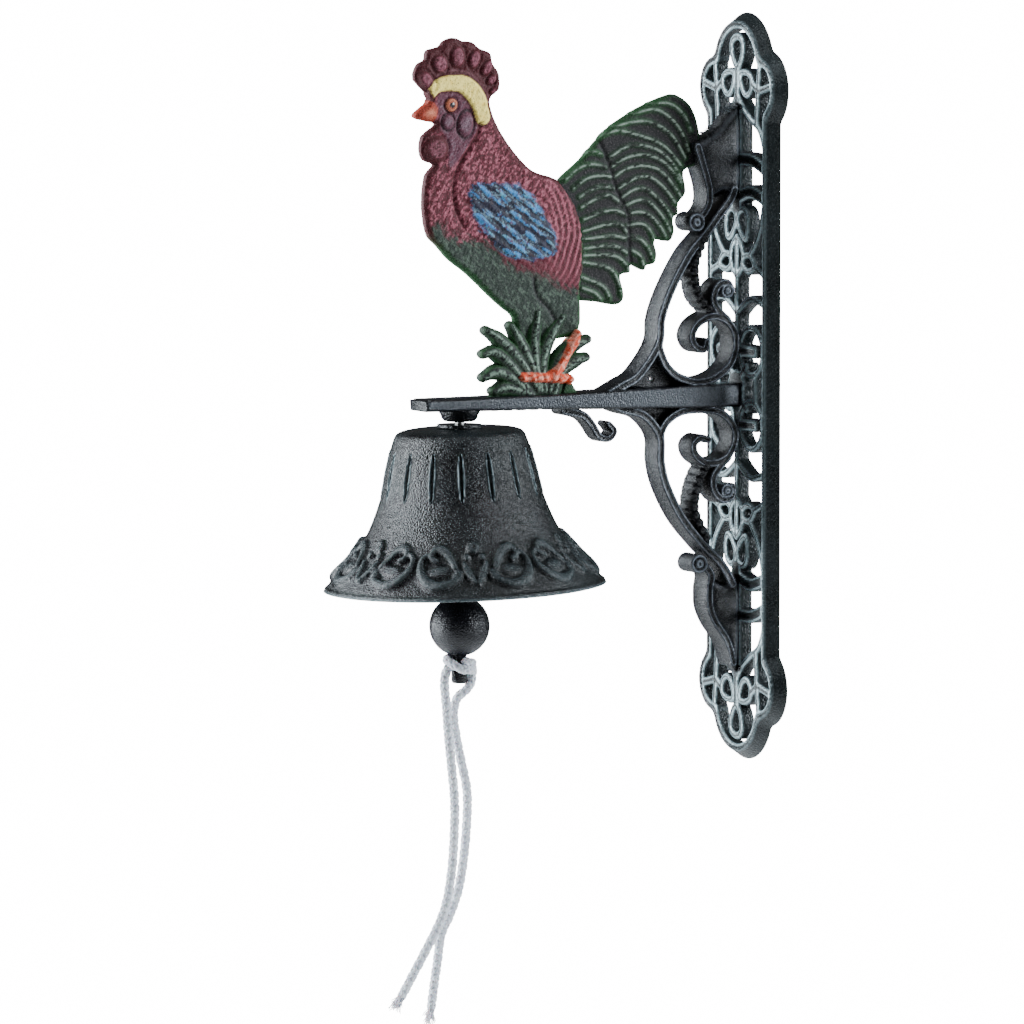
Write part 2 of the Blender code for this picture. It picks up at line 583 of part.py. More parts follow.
def make_clapper():
    link = []
    for k in range(12):
        turn = math.pi * k / 11
        link.append((LINK_HALF * math.cos(turn), BELL_Y,
                     LINK_TOP - LINK_HALF + LINK_HALF * math.sin(turn)))
    for k in range(12):
        turn = math.pi * k / 11
        link.append((0, BELL_Y - LINK_HALF * math.cos(turn),
                     LINK_BOTTOM + LINK_HALF - LINK_HALF * math.sin(turn)))
    tube("clapper_link", link, LINK_WIRE, STEEL, closed=True)
    eye_centre = LINK_BOTTOM + LINK_WIRE + ROD_EYE_WIRE + GAP - ROD_EYE_RADIUS
    line, sizes = [], []
    for k in range(15):
        turn = math.radians(-90 + 24 * (14 - k) * 0.93)
        line.append((ROD_EYE_RADIUS * math.cos(turn), BELL_Y,
                     eye_centre + ROD_EYE_RADIUS * math.sin(turn)))
        sizes.append(1.0)
    bottom = eye_centre - ROD_EYE_RADIUS
    line += [(0, BELL_Y, bottom - 1.6), (0, BELL_Y, bottom - 4.0), (0, BELL_Y, -60.0),
             (0, BELL_Y, BALL_Z + BALL_RADIUS - 7.0)]
    sizes += [1.2, ROD_RADIUS / ROD_EYE_WIRE, ROD_RADIUS / ROD_EYE_WIRE, ROD_RADIUS / ROD_EYE_WIRE]
    tube("clapper_rod", line, ROD_EYE_WIRE, STEEL, radii=sizes)
    socket = ROD_RADIUS + GAP
    profile = [(0, BALL_Z + BALL_RADIUS - 7.4), (socket, BALL_Z + BALL_RADIUS - 7.4),
               (socket, BALL_Z + BALL_RADIUS - 0.4)]
    for k in range(1, 15):
        turn = math.radians(90 - 10 - 10.6 * k)
        profile.append((BALL_RADIUS * math.cos(turn), BALL_Z + BALL_RADIUS * math.sin(turn)))
    profile += [(NUB_WAIST, BALL_Z - BALL_RADIUS - 0.6), (NUB_WAIST, HITCH_Z - 2.2),
                (NUB_RADIUS, HITCH_Z - 2.8), (NUB_RADIUS, NUB_END + 0.8),
                (NUB_RADIUS - 0.8, NUB_END), (0, NUB_END)]
    turned("clapper_ball", profile, BELL_IRON, BELL_Y, around=28)


# The rope's two strands, (x, y, z), from under the hitch to their loose ends.
STRAND_LEFT = [(0.4, -138.2, -113.4), (1.2, -138.7, -115.8), (2.0, -138.8, -118.5),
               (2.6, -138.4, -126.0), (2.6, -137.6, -136.0), (2.4, -136.2, -148.0),
               (2.4, -134.8, -162.0), (2.4, -134.9, -175.0), (2.4, -136.0, -190.0),
               (2.6, -138.4, -203.0), (2.8, -142.0, -212.0), (2.6, -147.0, -221.0),
               (2.2, -152.8, -231.0), (1.6, -158.4, -240.8)]
STRAND_RIGHT = [(-0.2, -125.7, -113.4), (-0.3, -125.9, -115.2), (-0.8, -128.0, -118.4),
                (-1.6, -131.6, -121.6), (-2.0, -133.0, -128.0), (-2.0, -131.8, -137.0),
                (-2.0, -129.6, -147.0), (-2.0, -127.0, -159.0), (-2.0, -127.0, -171.0),
                (-2.0, -128.4, -186.0), (-2.0, -130.8, -199.0), (-2.0, -134.6, -209.0),
                (-2.0, -138.6, -217.0), (-2.0, -140.2, -227.0), (-2.0, -141.8, -237.0),
                (-2.0, -143.2, -246.8)]


def make_rope():
    reach = NUB_WAIST + GAP + ROPE_RADIUS
    ring = [(reach * math.cos(2 * math.pi * k / 16), BELL_Y + reach * math.sin(2 * math.pi * k / 16),
             HITCH_Z) for k in range(16)]
    tube("rope_hitch", ring, ROPE_RADIUS, COTTON, closed=True)
    for name, route in (("rope_strand_left", STRAND_LEFT), ("rope_strand_right", STRAND_RIGHT)):
        tube(name, even_line(smooth_line(route, 8), 30), ROPE_RADIUS, COTTON)


def main():
    for thing in list(bpy.data.objects):
        bpy.data.objects.remove(thing, do_unlink=True)
    make_wall_plate()
    make_arm()
    make_bracket()
    make_rooster()
    make_bell()
    make_hanger()
    make_clapper()
    make_rope()


main()
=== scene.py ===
"""The looks of the wall bell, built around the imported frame.

Places are in millimetres in the row frame, turned into metres by MM.
"""

import math

import bpy
import numpy as np
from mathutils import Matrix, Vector


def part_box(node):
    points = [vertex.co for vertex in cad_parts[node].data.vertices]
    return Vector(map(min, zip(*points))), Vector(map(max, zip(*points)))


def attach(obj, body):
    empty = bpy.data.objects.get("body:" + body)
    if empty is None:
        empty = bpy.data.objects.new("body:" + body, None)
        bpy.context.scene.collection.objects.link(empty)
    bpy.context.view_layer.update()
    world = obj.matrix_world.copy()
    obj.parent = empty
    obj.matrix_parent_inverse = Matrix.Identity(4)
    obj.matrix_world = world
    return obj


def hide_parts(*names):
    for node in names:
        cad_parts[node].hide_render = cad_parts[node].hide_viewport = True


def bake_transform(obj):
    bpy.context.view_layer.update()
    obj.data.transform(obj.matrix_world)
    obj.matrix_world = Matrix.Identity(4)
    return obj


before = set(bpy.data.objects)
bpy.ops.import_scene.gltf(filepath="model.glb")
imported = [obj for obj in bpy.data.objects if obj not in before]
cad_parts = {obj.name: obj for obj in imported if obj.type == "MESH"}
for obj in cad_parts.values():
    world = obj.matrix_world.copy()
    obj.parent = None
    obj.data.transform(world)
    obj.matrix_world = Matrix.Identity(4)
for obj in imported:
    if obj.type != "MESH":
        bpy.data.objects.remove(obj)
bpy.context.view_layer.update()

MM = 0.001


def box_mm(node):
    """The corners of a CAD node, in millimetres."""
    low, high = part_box(node)
    return np.array(low) / MM, np.array(high) / MM


BELL_LOW, BELL_HIGH = box_mm("bell")
BELL_Y, BELL_TOP = (BELL_LOW[1] + BELL_HIGH[1]) / 2, BELL_HIGH[2]
PLATE_LOW, PLATE_HIGH = box_mm("wall_plate")
PLATE_DEPTH = -PLATE_LOW[1]
BALL_LOW, BALL_HIGH = box_mm("clapper_ball")
BALL_RADIUS = BALL_HIGH[0]
BALL_Z = BALL_HIGH[2] + 0.4 - BALL_RADIUS
NUB_END = BALL_LOW[2]
HITCH_LOW, HITCH_HIGH = box_mm("rope_hitch")
HITCH_Z = (HITCH_LOW[2] + HITCH_HIGH[2]) / 2
ARM_Z = -2.9

# --------------------------------------------------------------------------- camera

CAMERA_TARGET = Vector((-37.5, -88.5, -50.7)) * MM
CAMERA_AZIMUTH, CAMERA_ELEVATION = math.radians(63.0), math.radians(4.8)
CAMERA_DISTANCE, CAMERA_LENS = 4.0, 345.5


def bearing(azimuth, elevation):
    """The way out from the bell, with the front at 0 and the bell's right side at 90 degrees."""
    return Vector((math.sin(azimuth) * math.cos(elevation),
                   -math.cos(azimuth) * math.cos(elevation), math.sin(elevation)))


def add_camera():
    data = bpy.data.cameras.new("camera")
    data.sensor_width, data.lens = 36.0, CAMERA_LENS
    data.clip_start, data.clip_end = 0.5, 20.0
    camera = bpy.data.objects.new("camera", data)
    bpy.context.scene.collection.objects.link(camera)
    away = bearing(CAMERA_AZIMUTH, CAMERA_ELEVATION)
    camera.location = CAMERA_TARGET + away * CAMERA_DISTANCE
    camera.rotation_euler = (-away).to_track_quat("-Z", "Y").to_euler()
    bpy.context.scene.camera = camera


add_camera()

# --------------------------------------------------------------------------- lines and distances


def smooth_line(route, pieces, closed=False):
    """Points on a Catmull-Rom curve through the route's points."""
    p = np.array(route, float)
    if closed:
        p = np.concatenate([p[-1:], p, p[:2]])
    else:
        p = np.concatenate([p[:1], p, p[-1:]])
    t = np.arange(pieces)[:, None] / pieces
    line = []
    for a, b, c, d in zip(p, p[1:], p[2:], p[3:]):
        line.append(0.5 * (2 * b + (c - a) * t + (2 * a - 5 * b + 4 * c - d) * t * t
                           + (3 * b - a - 3 * c + d) * t ** 3))
    line = np.concatenate(line)
    return line if closed else np.concatenate([line, p[-1:]])


def even_line(line, count):
    """The line read again at evenly spaced points."""
    steps = np.linalg.norm(np.diff(line, axis=0), axis=1)
    lengths = np.concatenate([[0], np.cumsum(steps)])
    wanted = np.linspace(0, lengths[-1], count)
    return np.stack([np.interp(wanted, lengths, line[:, k]) for k in range(line.shape[1])], 1)


def length_of(line):
    return float(np.linalg.norm(np.diff(line, axis=0), axis=1).sum())


def to_line(points, line):
    """(distance, share along) of each point from an open line."""
    line = np.array(line, float)
    steps = np.diff(line, axis=0)
    long = np.maximum(np.linalg.norm(steps, axis=1), 1e-9)
    reached = np.concatenate([[0], np.cumsum(long)])
    best, share = np.full(len(points), 1e9), np.zeros(len(points))
    for k, (a, step) in enumerate(zip(line, steps)):
        t = np.clip((points - a) @ step / long[k] ** 2, 0, 1)
        away = np.linalg.norm(points - a - t[:, None] * step, axis=1)
        nearer = away < best
        best[nearer] = away[nearer]
        share[nearer] = (reached[k] + t[nearer] * long[k]) / reached[-1]
    return best, share


def inside_line(points, line):
    """Whether each point is inside a closed line."""
    line = np.array(line, float)
    odd = np.zeros(len(points), bool)
    for a, b in zip(line, np.roll(line, -1, axis=0)):
        if a[1] == b[1]:
            continue
        crosses = (a[1] > points[:, 1]) != (b[1] > points[:, 1])
        at = a[0] + (points[:, 1] - a[1]) * (b[0] - a[0]) / (b[1] - a[1])
        odd ^= crosses & (points[:, 0] < at)
    return odd


def shape_field(points, line):
    """Distance outside a closed line, negative inside it."""
    closed = np.concatenate([line, line[:1]])
    return np.where(inside_line(points, line), -1, 1) * to_line(points, closed)[0]


def bump(x, width):
    """1 where x is 0, falling away within this width."""
    return np.exp(-(x / width) ** 2)


def ramp(x, low, high):
    """0 at low, 1 at high, with a soft start and end. High may be the smaller."""
    t = np.clip((x - low) / (high - low), 0, 1)
    return t * t * (3 - 2 * t)


def soft_min(a, b, reach):
    """The smaller of two fields, with a fillet of about this reach between them."""
    h = np.clip(0.5 + 0.5 * (b - a) / reach, 0, 1)
    return b + (a - b) * h - reach * h * (1 - h)


# --------------------------------------------------------------------------- meshes


def add_mesh(name, points, faces, smooth_angle=40.0, colours=None, floats=None):
    """A mesh object from points in millimetres, with colours and numbers held at its points."""
    mesh = bpy.data.meshes.new(name)
    mesh.from_pydata((np.array(points, float) * MM).tolist(), [], faces)
    mesh.update()
    for key, values in (colours or {}).items():
        held = mesh.attributes.new(key, "FLOAT_COLOR", "POINT")
        rgba = np.concatenate([values, np.ones((len(values), 1))], 1)
        held.data.foreach_set("color", rgba.astype(np.float32).ravel())
    for key, values in (floats or {}).items():
        mesh.attributes.new(key, "FLOAT", "POINT").data.foreach_set(
            "value", np.asarray(values, np.float32))
    mesh.shade_smooth()
    if smooth_angle is not None:
        mesh.set_sharp_from_angle(angle=math.radians(smooth_angle))
    made = bpy.data.objects.new(name, mesh)
    bpy.context.scene.collection.objects.link(made)
    return made


def flat_cells(field, low, high, step):
    """Cells of a grid where the field is negative, cut along its zero line.

    It gives the places, the faces counterclockwise, and the edges on the zero line.
    """
    us, vs = np.arange(low[0], high[0] + step, step), np.arange(low[1], high[1] + step, step)
    places = np.stack(np.meshgrid(us, vs, indexing="ij"), -1)
    value = field(places.reshape(-1, 2)).reshape(places.shape[:2])
    inside = value < 0
    index = np.full(value.shape, -1)
    index[inside] = np.arange(inside.sum())
    held = inside.astype(int)
    count = held[:-1, :-1] + held[1:, :-1] + held[1:, 1:] + held[:-1, 1:]
    full = count == 4
    faces = np.stack([index[:-1, :-1][full], index[1:, :-1][full], index[1:, 1:][full],
                      index[:-1, 1:][full]], 1).tolist()
    extra, crossings, edges = [], {}, []
    first = int(inside.sum())

    def crossing(a, b):
        if (a, b) not in crossings:
            share = max(value[a] / (value[a] - value[b]), 0.03)
            extra.append(places[a] + share * (places[b] - places[a]))
            crossings[a, b] = first + len(extra) - 1
        return crossings[a, b]

    for i, j in np.argwhere((count > 0) & (count < 4)).tolist():
        corners = [(i, j), (i + 1, j), (i + 1, j + 1), (i, j + 1)]
        ring, cuts = [], []
        for k in range(4):
            a, b = corners[k], corners[(k + 1) % 4]
            if inside[a]:
                ring.append(int(index[a]))
            if inside[a] != inside[b]:
                ring.append(crossing(a, b) if inside[a] else crossing(b, a))
                cuts.append((ring[-1], inside[a]))
        faces.append(ring)
        edges += [(cut, cuts[(n + 1) % len(cuts)][0]) for n, (cut, leaves) in enumerate(cuts)
                  if leaves]
    return np.concatenate([places[inside], np.array(extra)]), faces, edges


def relief(name, field, low, high, step, front, back, lay, spread=None, paint=None, wear_and_highlight=None,
           smooth_angle=50.0):
    """A flat casting with a relief on its front and back, walled along the field's zero line.

    lay turns (places, height) into points. spread moves the back's places.
    """
    places, faces, edges = flat_cells(field, low, high, step)
    count = len(places)
    behind = places if spread is None else spread(places, {k for edge in edges for k in edge})
    points = np.concatenate([lay(places, front(places)), lay(behind, back(places))])
    faces = faces + [[k + count for k in reversed(face)] for face in faces]
    faces += [(b, a, a + count, b + count) for a, b in edges]
    colours = {"paint": np.tile(paint(places), (2, 1))} if paint else {}
    floats = {"wear_and_highlight": np.tile(wear_and_highlight(places), 2)} if wear_and_highlight else {}
    return add_mesh(name, points, faces, smooth_angle, colours, floats)


def lay_plate(places, height):
    """(x, z) places with their height out from the wall."""
    return np.stack([places[:, 0], -height, places[:, 1]], 1)


def lay_side(places, height):
    """(y, z) places with their height out to the right."""
    return np.stack([height, places[:, 0], places[:, 1]], 1)


# --------------------------------------------------------------------------- shader nodes


class Wire:
    """A shader socket that takes part in sums."""

    def __init__(self, tree, socket):
        self.tree, self.socket = tree, socket

    def sum(self, kind, *others):
        node = self.tree.nodes.new("ShaderNodeMath")
        node.operation = kind
        for place, value in zip(node.inputs, (self, *others)):
            plug(self.tree, value, place)
        return Wire(self.tree, node.outputs[0])

    def __add__(self, other):
        return self.sum("ADD", other)

    def __mul__(self, other):
        return self.sum("MULTIPLY", other)

    def __rsub__(self, other):
        return (self * -1.0) + other

    __radd__, __rmul__ = __add__, __mul__

    def clamp(self):
        return self.sum("MAXIMUM", 0.0).sum("MINIMUM", 1.0)


def plug(tree, value, place):
    if isinstance(value, Wire):
        tree.links.new(value.socket, place)
    else:
        place.default_value = value


class Nodes:
    """A node tree, with one method for any node."""

    def node(self, kind, settings=None, sockets=None, output=0):
        node = self.tree.nodes.new(kind)
        for key, value in (settings or {}).items():
            setattr(node, key, value)
        for key, value in (sockets or {}).items():
            plug(self.tree, value, node.inputs[key])
        return Wire(self.tree, node.outputs[output])


class Finish(Nodes):
    """A procedural material."""

    def __init__(self, name):
        self.material = bpy.data.materials.new(name)
        self.material.use_nodes = True
        self.tree = self.material.node_tree
        self.shader = self.tree.nodes["Principled BSDF"]

    def set(self, **sockets):
        for key, value in sockets.items():
            plug(self.tree, value, self.shader.inputs[key.replace("_", " ")])

    def place(self):
        return self.node("ShaderNodeTexCoord", output="Object")

    def noise(self, scale, detail=3.0, rough=0.55, where=None):
        return self.node("ShaderNodeTexNoise", {}, {
            "Vector": where or self.place(), "Scale": scale, "Detail": detail,
            "Roughness": rough}, "Fac")

    def pebble(self, scale, where=None):
        return self.node("ShaderNodeTexVoronoi", {"feature": "SMOOTH_F1"}, {
            "Vector": where or self.place(), "Scale": scale, "Smoothness": 0.6}, "Distance")

    def held(self, name, output="Fac"):
        return self.node("ShaderNodeAttribute", {"attribute_name": name}, output=output)

    def mix(self, share, a, b):
        """Colour a where the share is 0, b where it is 1."""
        node = self.tree.nodes.new("ShaderNodeMix")
        node.data_type = "RGBA"
        plug(self.tree, share, node.inputs["Factor"])
        for value, place in ((a, node.inputs[6]), (b, node.inputs[7])):
            plug(self.tree, value if isinstance(value, Wire) else (*value, 1.0), place)
        return Wire(self.tree, node.outputs[2])

    def range(self, value, low, high, to_low=0.0, to_high=1.0):
        return self.node("ShaderNodeMapRange", {"clamp": True}, {
            "Value": value, "From Min": low, "From Max": high, "To Min": to_low,
            "To Max": to_high}, "Result")

    def bumps(self, height, distance):
        self.set(Normal=self.node("ShaderNodeBump", {}, {
            "Height": height, "Distance": distance, "Strength": 1.0}, "Normal"))


def iron_finish(name, dark, bright, pebble_size, depth, use_wear_and_highlight):
    """Black painted cast iron: pebbled, with its crests rubbed to bare grey and brightened by painted
    highlights.
    """
    made = Finish(name)
    grain = made.pebble(1.0 / (pebble_size * MM))
    fine = made.noise(0.45 / (pebble_size * MM), 4.0, 0.7)
    cloud = made.noise(38.0, 3.0)
    height = (1.0 - grain) * 0.8 + fine * 0.6
    wear_and_highlight_share = made.range(height, 0.86, 1.14) * 0.10
    if use_wear_and_highlight:
        # The held mask lays bare grey iron on crests and edges: partly real rubbing, partly a painted
        # highlight where light catches them.
        wear_and_highlight_share = wear_and_highlight_share + made.held("wear_and_highlight") * made.range(fine + grain * 0.2, 0.35, 0.62, 0.40, 1.0)
    wear_and_highlight_share = (wear_and_highlight_share + made.range(cloud, 0.42, 0.7) * 0.03).clamp()
    made.set(Base_Color=made.mix(wear_and_highlight_share, dark, bright), Metallic=made.range(wear_and_highlight_share, 0.0, 1.0, 0.1, 0.8),
             Roughness=made.range(wear_and_highlight_share + cloud * 0.25, 0.0, 1.0, 0.20, 0.36),
             Specular_IOR_Level=0.36)
    made.bumps(height, depth * MM)
    return made.material


PLATE_IRON = iron_finish("plate_iron", (0.0010, 0.0022, 0.0024), (0.34, 0.44, 0.47), 0.62, 0.34, True)
BRACKET_IRON = iron_finish("bracket_iron", (0.0010, 0.0014, 0.0022), (0.30, 0.34, 0.40), 0.60, 0.36,
                           True)
BELL_IRON = iron_finish("bell_iron", (0.0010, 0.0022, 0.0026), (0.34, 0.46, 0.50), 0.60, 0.46, True)
BALL_IRON = iron_finish("ball_iron", (0.0018, 0.0018, 0.0030), (0.24, 0.26, 0.32), 0.60, 0.32, False)


def painted_finish(name):
    """Hand paint over cast iron: colour held at the points, broken by fine dry strokes."""
    made = Finish(name)
    paint = made.held("paint", "Color")
    where = made.place()
    grain = made.noise(1500.0, 4.0, 0.75, where)
    pebbles = made.pebble(1400.0, where)
    light = made.range(grain, 0.52, 0.70)
    dark = made.range(grain, 0.48, 0.34)
    colour = made.mix(light * 0.10, paint, (0.50, 0.38, 0.42))
    colour = made.mix(dark * 0.80, colour, (0.004, 0.003, 0.004))
    made.set(Base_Color=colour, Metallic=0.0, Roughness=0.58, Specular_IOR_Level=0.22)
    made.bumps((1.0 - pebbles) * 0.7 + grain * 0.8, 0.20 * MM)
    return made.material


ROOSTER_PAINT = painted_finish("rooster_paint")


def steel_finish():
    made = Finish("dull_steel")
    dull = made.noise(260.0, 4.0)
    made.set(Base_Color=made.mix(dull, (0.16, 0.16, 0.15), (0.42, 0.42, 0.41)), Metallic=1.0,
             Roughness=made.range(dull, 0.2, 0.8, 0.28, 0.5))
    made.bumps(dull, 0.05 * MM)
    return made.material


STEEL = steel_finish()


def cotton_finish():
    made = Finish("white_cotton")
    strand = made.noise(2600.0, 3.0, 0.6)
    soft = made.noise(240.0, 3.0)
    made.set(Base_Color=made.mix(made.range(strand * 0.7 + soft * 0.3, 0.35, 0.65),
                                 (0.42, 0.42, 0.50), (0.92, 0.92, 0.94)),
             Roughness=0.92, Metallic=0.0, Sheen_Weight=0.35, Subsurface_Weight=0.15,
             Subsurface_Scale=0.0015)
    made.bumps(strand, 0.12 * MM)
    return made.material


COTTON = cotton_finish()


def dress(piece, finish, body, replaced):
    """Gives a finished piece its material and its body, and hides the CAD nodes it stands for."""
    piece.data.materials.clear()
    piece.data.materials.append(finish)
    if body:
        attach(piece, body)
    if replaced:
        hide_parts(*replaced)


# --------------------------------------------------------------------------- geometry nodes


class Tree(Nodes):
    """A Geometry Nodes group with named inputs."""

    def __init__(self, name, inputs):
        self.tree = bpy.data.node_groups.new(name, "GeometryNodeTree")
        face = self.tree.interface
        face.new_socket("Geometry", in_out="INPUT", socket_type="NodeSocketGeometry")
        face.new_socket("Geometry", in_out="OUTPUT", socket_type="NodeSocketGeometry")
        for key, kind, value in inputs:
            made = face.new_socket(key, in_out="INPUT", socket_type="NodeSocket" + kind)
            if value is not None:
                made.default_value = value
        self.given = self.tree.nodes.new("NodeGroupInput")
        self.taken = self.tree.nodes.new("NodeGroupOutput")

    def given_as(self, key):
        return Wire(self.tree, self.given.outputs[key])

    def vector(self, operation, a, b, output=0):
        key = "Scale" if operation == "SCALE" else 1
        return self.node("ShaderNodeVectorMath", {"operation": operation}, {0: a, key: b}, output)

    def copies(self, line, count):
        """The line count times over: (the copies, the number of each)."""
        twin = self.tree.nodes.new("GeometryNodeDuplicateElements")
        twin.domain = "SPLINE"
        plug(self.tree, line, twin.inputs["Geometry"])
        plug(self.tree, count, twin.inputs["Amount"])
        return Wire(self.tree, twin.outputs[0]), Wire(self.tree, twin.outputs[1])

    def tubes(self, lines, radius, sides):
        profile = self.node("GeometryNodeCurvePrimitiveCircle", {"mode": "RADIUS"},
                            {"Resolution": sides, "Radius": radius})
        return self.node("GeometryNodeCurveToMesh", {}, {
            "Curve": lines, "Profile Curve": profile, "Fill Caps": True})

    def give(self, geometry):
        """The group's result, in its Finish."""
        dressed = self.node("GeometryNodeSetMaterial", {}, {
            "Geometry": geometry, "Material": self.given_as("Finish")})
        plug(self.tree, dressed, self.taken.inputs["Geometry"])

    def made_on(self, source, name, values):
        """The mesh that this group makes on an object, as an object of its own."""
        added = source.modifiers.new("rule", "NODES")
        added.node_group = self.tree
        for item in self.tree.interface.items_tree:
            if item.in_out == "INPUT" and item.name in values:
                added[item.identifier] = values[item.name]
        source.update_tag()
        graph = bpy.context.evaluated_depsgraph_get()
        mesh = bpy.data.meshes.new_from_object(source.evaluated_get(graph))
        source.modifiers.remove(added)
        mesh.name = name
        made = bpy.data.objects.new(name, mesh)
        bpy.context.scene.collection.objects.link(made)
        bpy.data.objects.remove(source, do_unlink=True)
        return made


def guide(name, lines):
    """A curve object with one plain line for each list of places."""
    curve = bpy.data.curves.new(name, "CURVE")
    curve.dimensions = "3D"
    for line in lines:
        spline = curve.splines.new("POLY")
        spline.points.add(len(line) - 1)
        flat = np.concatenate([np.array(line, float) * MM, np.ones((len(line), 1))], 1)
        spline.points.foreach_set("co", flat.astype(np.float32).ravel())
    made = bpy.data.objects.new(name, curve)
    bpy.context.scene.collection.objects.link(made)
    return made


def braid_group():
    """Yarns wound both ways round a line, each over and under the others."""
    made = Tree("braid", [("Yarns each way", "Int", 4), ("Reach", "Float", 0.0011),
                          ("Yarn radius", "Float", 0.0008), ("Pitch", "Float", 0.012),
                          ("Weave", "Float", 0.0002), ("Finish", "Material", None)])
    line = made.node("GeometryNodeResampleCurve", {"mode": "LENGTH"},
                     {"Curve": made.given_as("Geometry"), "Length": 0.0006})
    line = made.node("GeometryNodeSetCurveNormal", {"mode": "MINIMUM_TWIST"}, {"Curve": line})
    tangent, normal = made.node("GeometryNodeInputTangent"), made.node("GeometryNodeInputNormal")
    along = made.node("GeometryNodeSplineParameter", output="Length")
    across = made.vector("CROSS_PRODUCT", tangent, normal)
    kept = []
    for name, value in (("b_normal", normal), ("b_across", across)):
        line = made.node("GeometryNodeStoreNamedAttribute",
                         {"data_type": "FLOAT_VECTOR", "domain": "POINT"},
                         {"Geometry": line, "Name": name, "Value": value})
        kept.append(made.node("GeometryNodeInputNamedAttribute", {"data_type": "FLOAT_VECTOR"},
                              {"Name": name}))
    line = made.node("GeometryNodeStoreNamedAttribute", {"data_type": "FLOAT", "domain": "POINT"},
                     {"Geometry": line, "Name": "b_along", "Value": along})
    along = made.node("GeometryNodeInputNamedAttribute", {"data_type": "FLOAT"},
                      {"Name": "b_along"})
    both = []
    each = made.given_as("Yarns each way")
    for hand in (1.0, -1.0):
        copy, number = made.copies(line, each)
        turn = along.sum("DIVIDE", made.given_as("Pitch")) * (hand * 2 * math.pi)
        angle = turn + (number.sum("DIVIDE", each) * (2 * math.pi))
        over = (along.sum("DIVIDE", made.given_as("Pitch")) * each * (2 * math.pi)
                + number * math.pi).sum("SINE")
        reach = made.given_as("Reach") + over * made.given_as("Weave") * hand
        moved = made.vector("ADD",
                            made.vector("SCALE", kept[0], reach * angle.sum("COSINE")),
                            made.vector("SCALE", kept[1], reach * angle.sum("SINE")))
        both.append(made.node("GeometryNodeSetPosition", {}, {"Geometry": copy, "Offset": moved}))
    joined = made.tree.nodes.new("GeometryNodeJoinGeometry")
    for wire in both:
        plug(made.tree, wire, joined.inputs["Geometry"])
    made.give(made.tubes(Wire(made.tree, joined.outputs[0]), made.given_as("Yarn radius"), 7))
    return made


def beads_group():
    """Balls set along a line, at a pitch of its own."""
    made = Tree("beads", [("Pitch", "Float", 0.004), ("Bead radius", "Float", 0.0016),
                          ("Finish", "Material", None)])
    points = made.node("GeometryNodeCurveToPoints", {"mode": "LENGTH"},
                       {"Curve": made.given_as("Geometry"), "Length": made.given_as("Pitch")})
    ball = made.node("GeometryNodeMeshUVSphere", {}, {
        "Segments": 20, "Rings": 12, "Radius": made.given_as("Bead radius")})
    set_out = made.node("GeometryNodeInstanceOnPoints", {}, {"Points": points, "Instance": ball})
    made.give(made.node("GeometryNodeRealizeInstances", {}, {"Geometry": set_out}))
    return made


def fray_group():
    """Loose fibres that stand out of the end of a strand, each bent its own way."""
    made = Tree("fray", [("Fibres", "Int", 60), ("Spread", "Float", 0.0012),
                         ("Splay", "Float", 0.0016), ("Fibre radius", "Float", 0.00012),
                         ("Seed", "Int", 3), ("Finish", "Material", None)])
    line = made.node("GeometryNodeResampleCurve", {"mode": "COUNT"},
                     {"Curve": made.given_as("Geometry"), "Count": 9})
    copy, number = made.copies(line, made.given_as("Fibres"))
    share = made.node("GeometryNodeSplineParameter", output="Factor")

    def drawn(seed, low, high):
        return made.node("FunctionNodeRandomValue", {"data_type": "FLOAT_VECTOR"}, {
            "Min": (low,) * 3, "Max": (high,) * 3, "ID": number,
            "Seed": made.given_as("Seed") + float(seed)})

    start = made.vector("SCALE", drawn(0, -1.0, 1.0), made.given_as("Spread"))
    splay = made.vector("SCALE", drawn(1, -1.0, 1.0), made.given_as("Splay") * share * share * 2.0)
    curl = made.vector("SCALE", drawn(2, -1.0, 1.0),
                       made.given_as("Splay") * (share * 7.0).sum("SINE") * 0.35)
    moved = made.vector("ADD", made.vector("ADD", start, splay), curl)
    spread = made.node("GeometryNodeSetPosition", {}, {"Geometry": copy, "Offset": moved})
    made.give(made.tubes(spread, made.given_as("Fibre radius"), 5))
    return made


BRAID, BEADS, FRAY = braid_group(), beads_group(), fray_group()

# --------------------------------------------------------------------------- pull rope

YARNS, YARN_REACH, YARN_RADIUS, YARN_WEAVE = 4, 1.08, 0.80, 0.20
STRAND_PITCH, HITCH_PITCH = 11.0, 9.0
STRAND_LEFT = [(0.8, -136.6, -108.6), (0.4, -137.6, -110.8), (0.4, -138.2, -113.4),
               (1.2, -138.7, -115.8), (2.0, -138.8, -118.5), (2.6, -138.4, -126.0),
               (2.6, -137.6, -136.0), (2.4, -136.2, -148.0), (2.4, -134.8, -162.0), (2.4, -134.9, -175.0),
               (2.4, -136.0, -190.0), (2.6, -138.4, -203.0), (2.8, -142.0, -212.0),
               (2.6, -147.0, -221.0), (2.2, -152.8, -231.0), (1.6, -158.4, -240.8)]
STRAND_RIGHT = [(1.4, -126.4, -108.4), (0.4, -125.7, -110.6), (-0.2, -125.7, -113.4),
                (-0.3, -125.9, -115.2), (-0.8, -128.0, -118.4), (-1.6, -131.6, -121.6),
                (-2.0, -133.0, -128.0), (-2.0, -131.8, -137.0), (-2.0, -129.6, -147.0),
                (-2.0, -127.0, -159.0),
                (-2.0, -127.0, -171.0), (-2.0, -128.4, -186.0), (-2.0, -130.8, -199.0),
                (-2.0, -134.6, -209.0), (-2.0, -138.6, -217.0), (-2.0, -140.2, -227.0),
                (-2.0, -141.8, -237.0), (-2.0, -143.2, -246.8)]
HITCH = [(4.9, -0.4, 0.9), (3.6, 3.6, 0.4), (0.0, 5.0, 0.0), (-3.6, 3.4, 0.6), (-4.9, 0.0, 1.6),
         (-3.5, -3.6, 1.8), (0.0, -5.0, 1.0), (3.6, -3.6, -0.6), (5.6, -0.4, -2.0),
         (4.0, 3.2, -2.2), (1.4, 4.9, -1.2)]


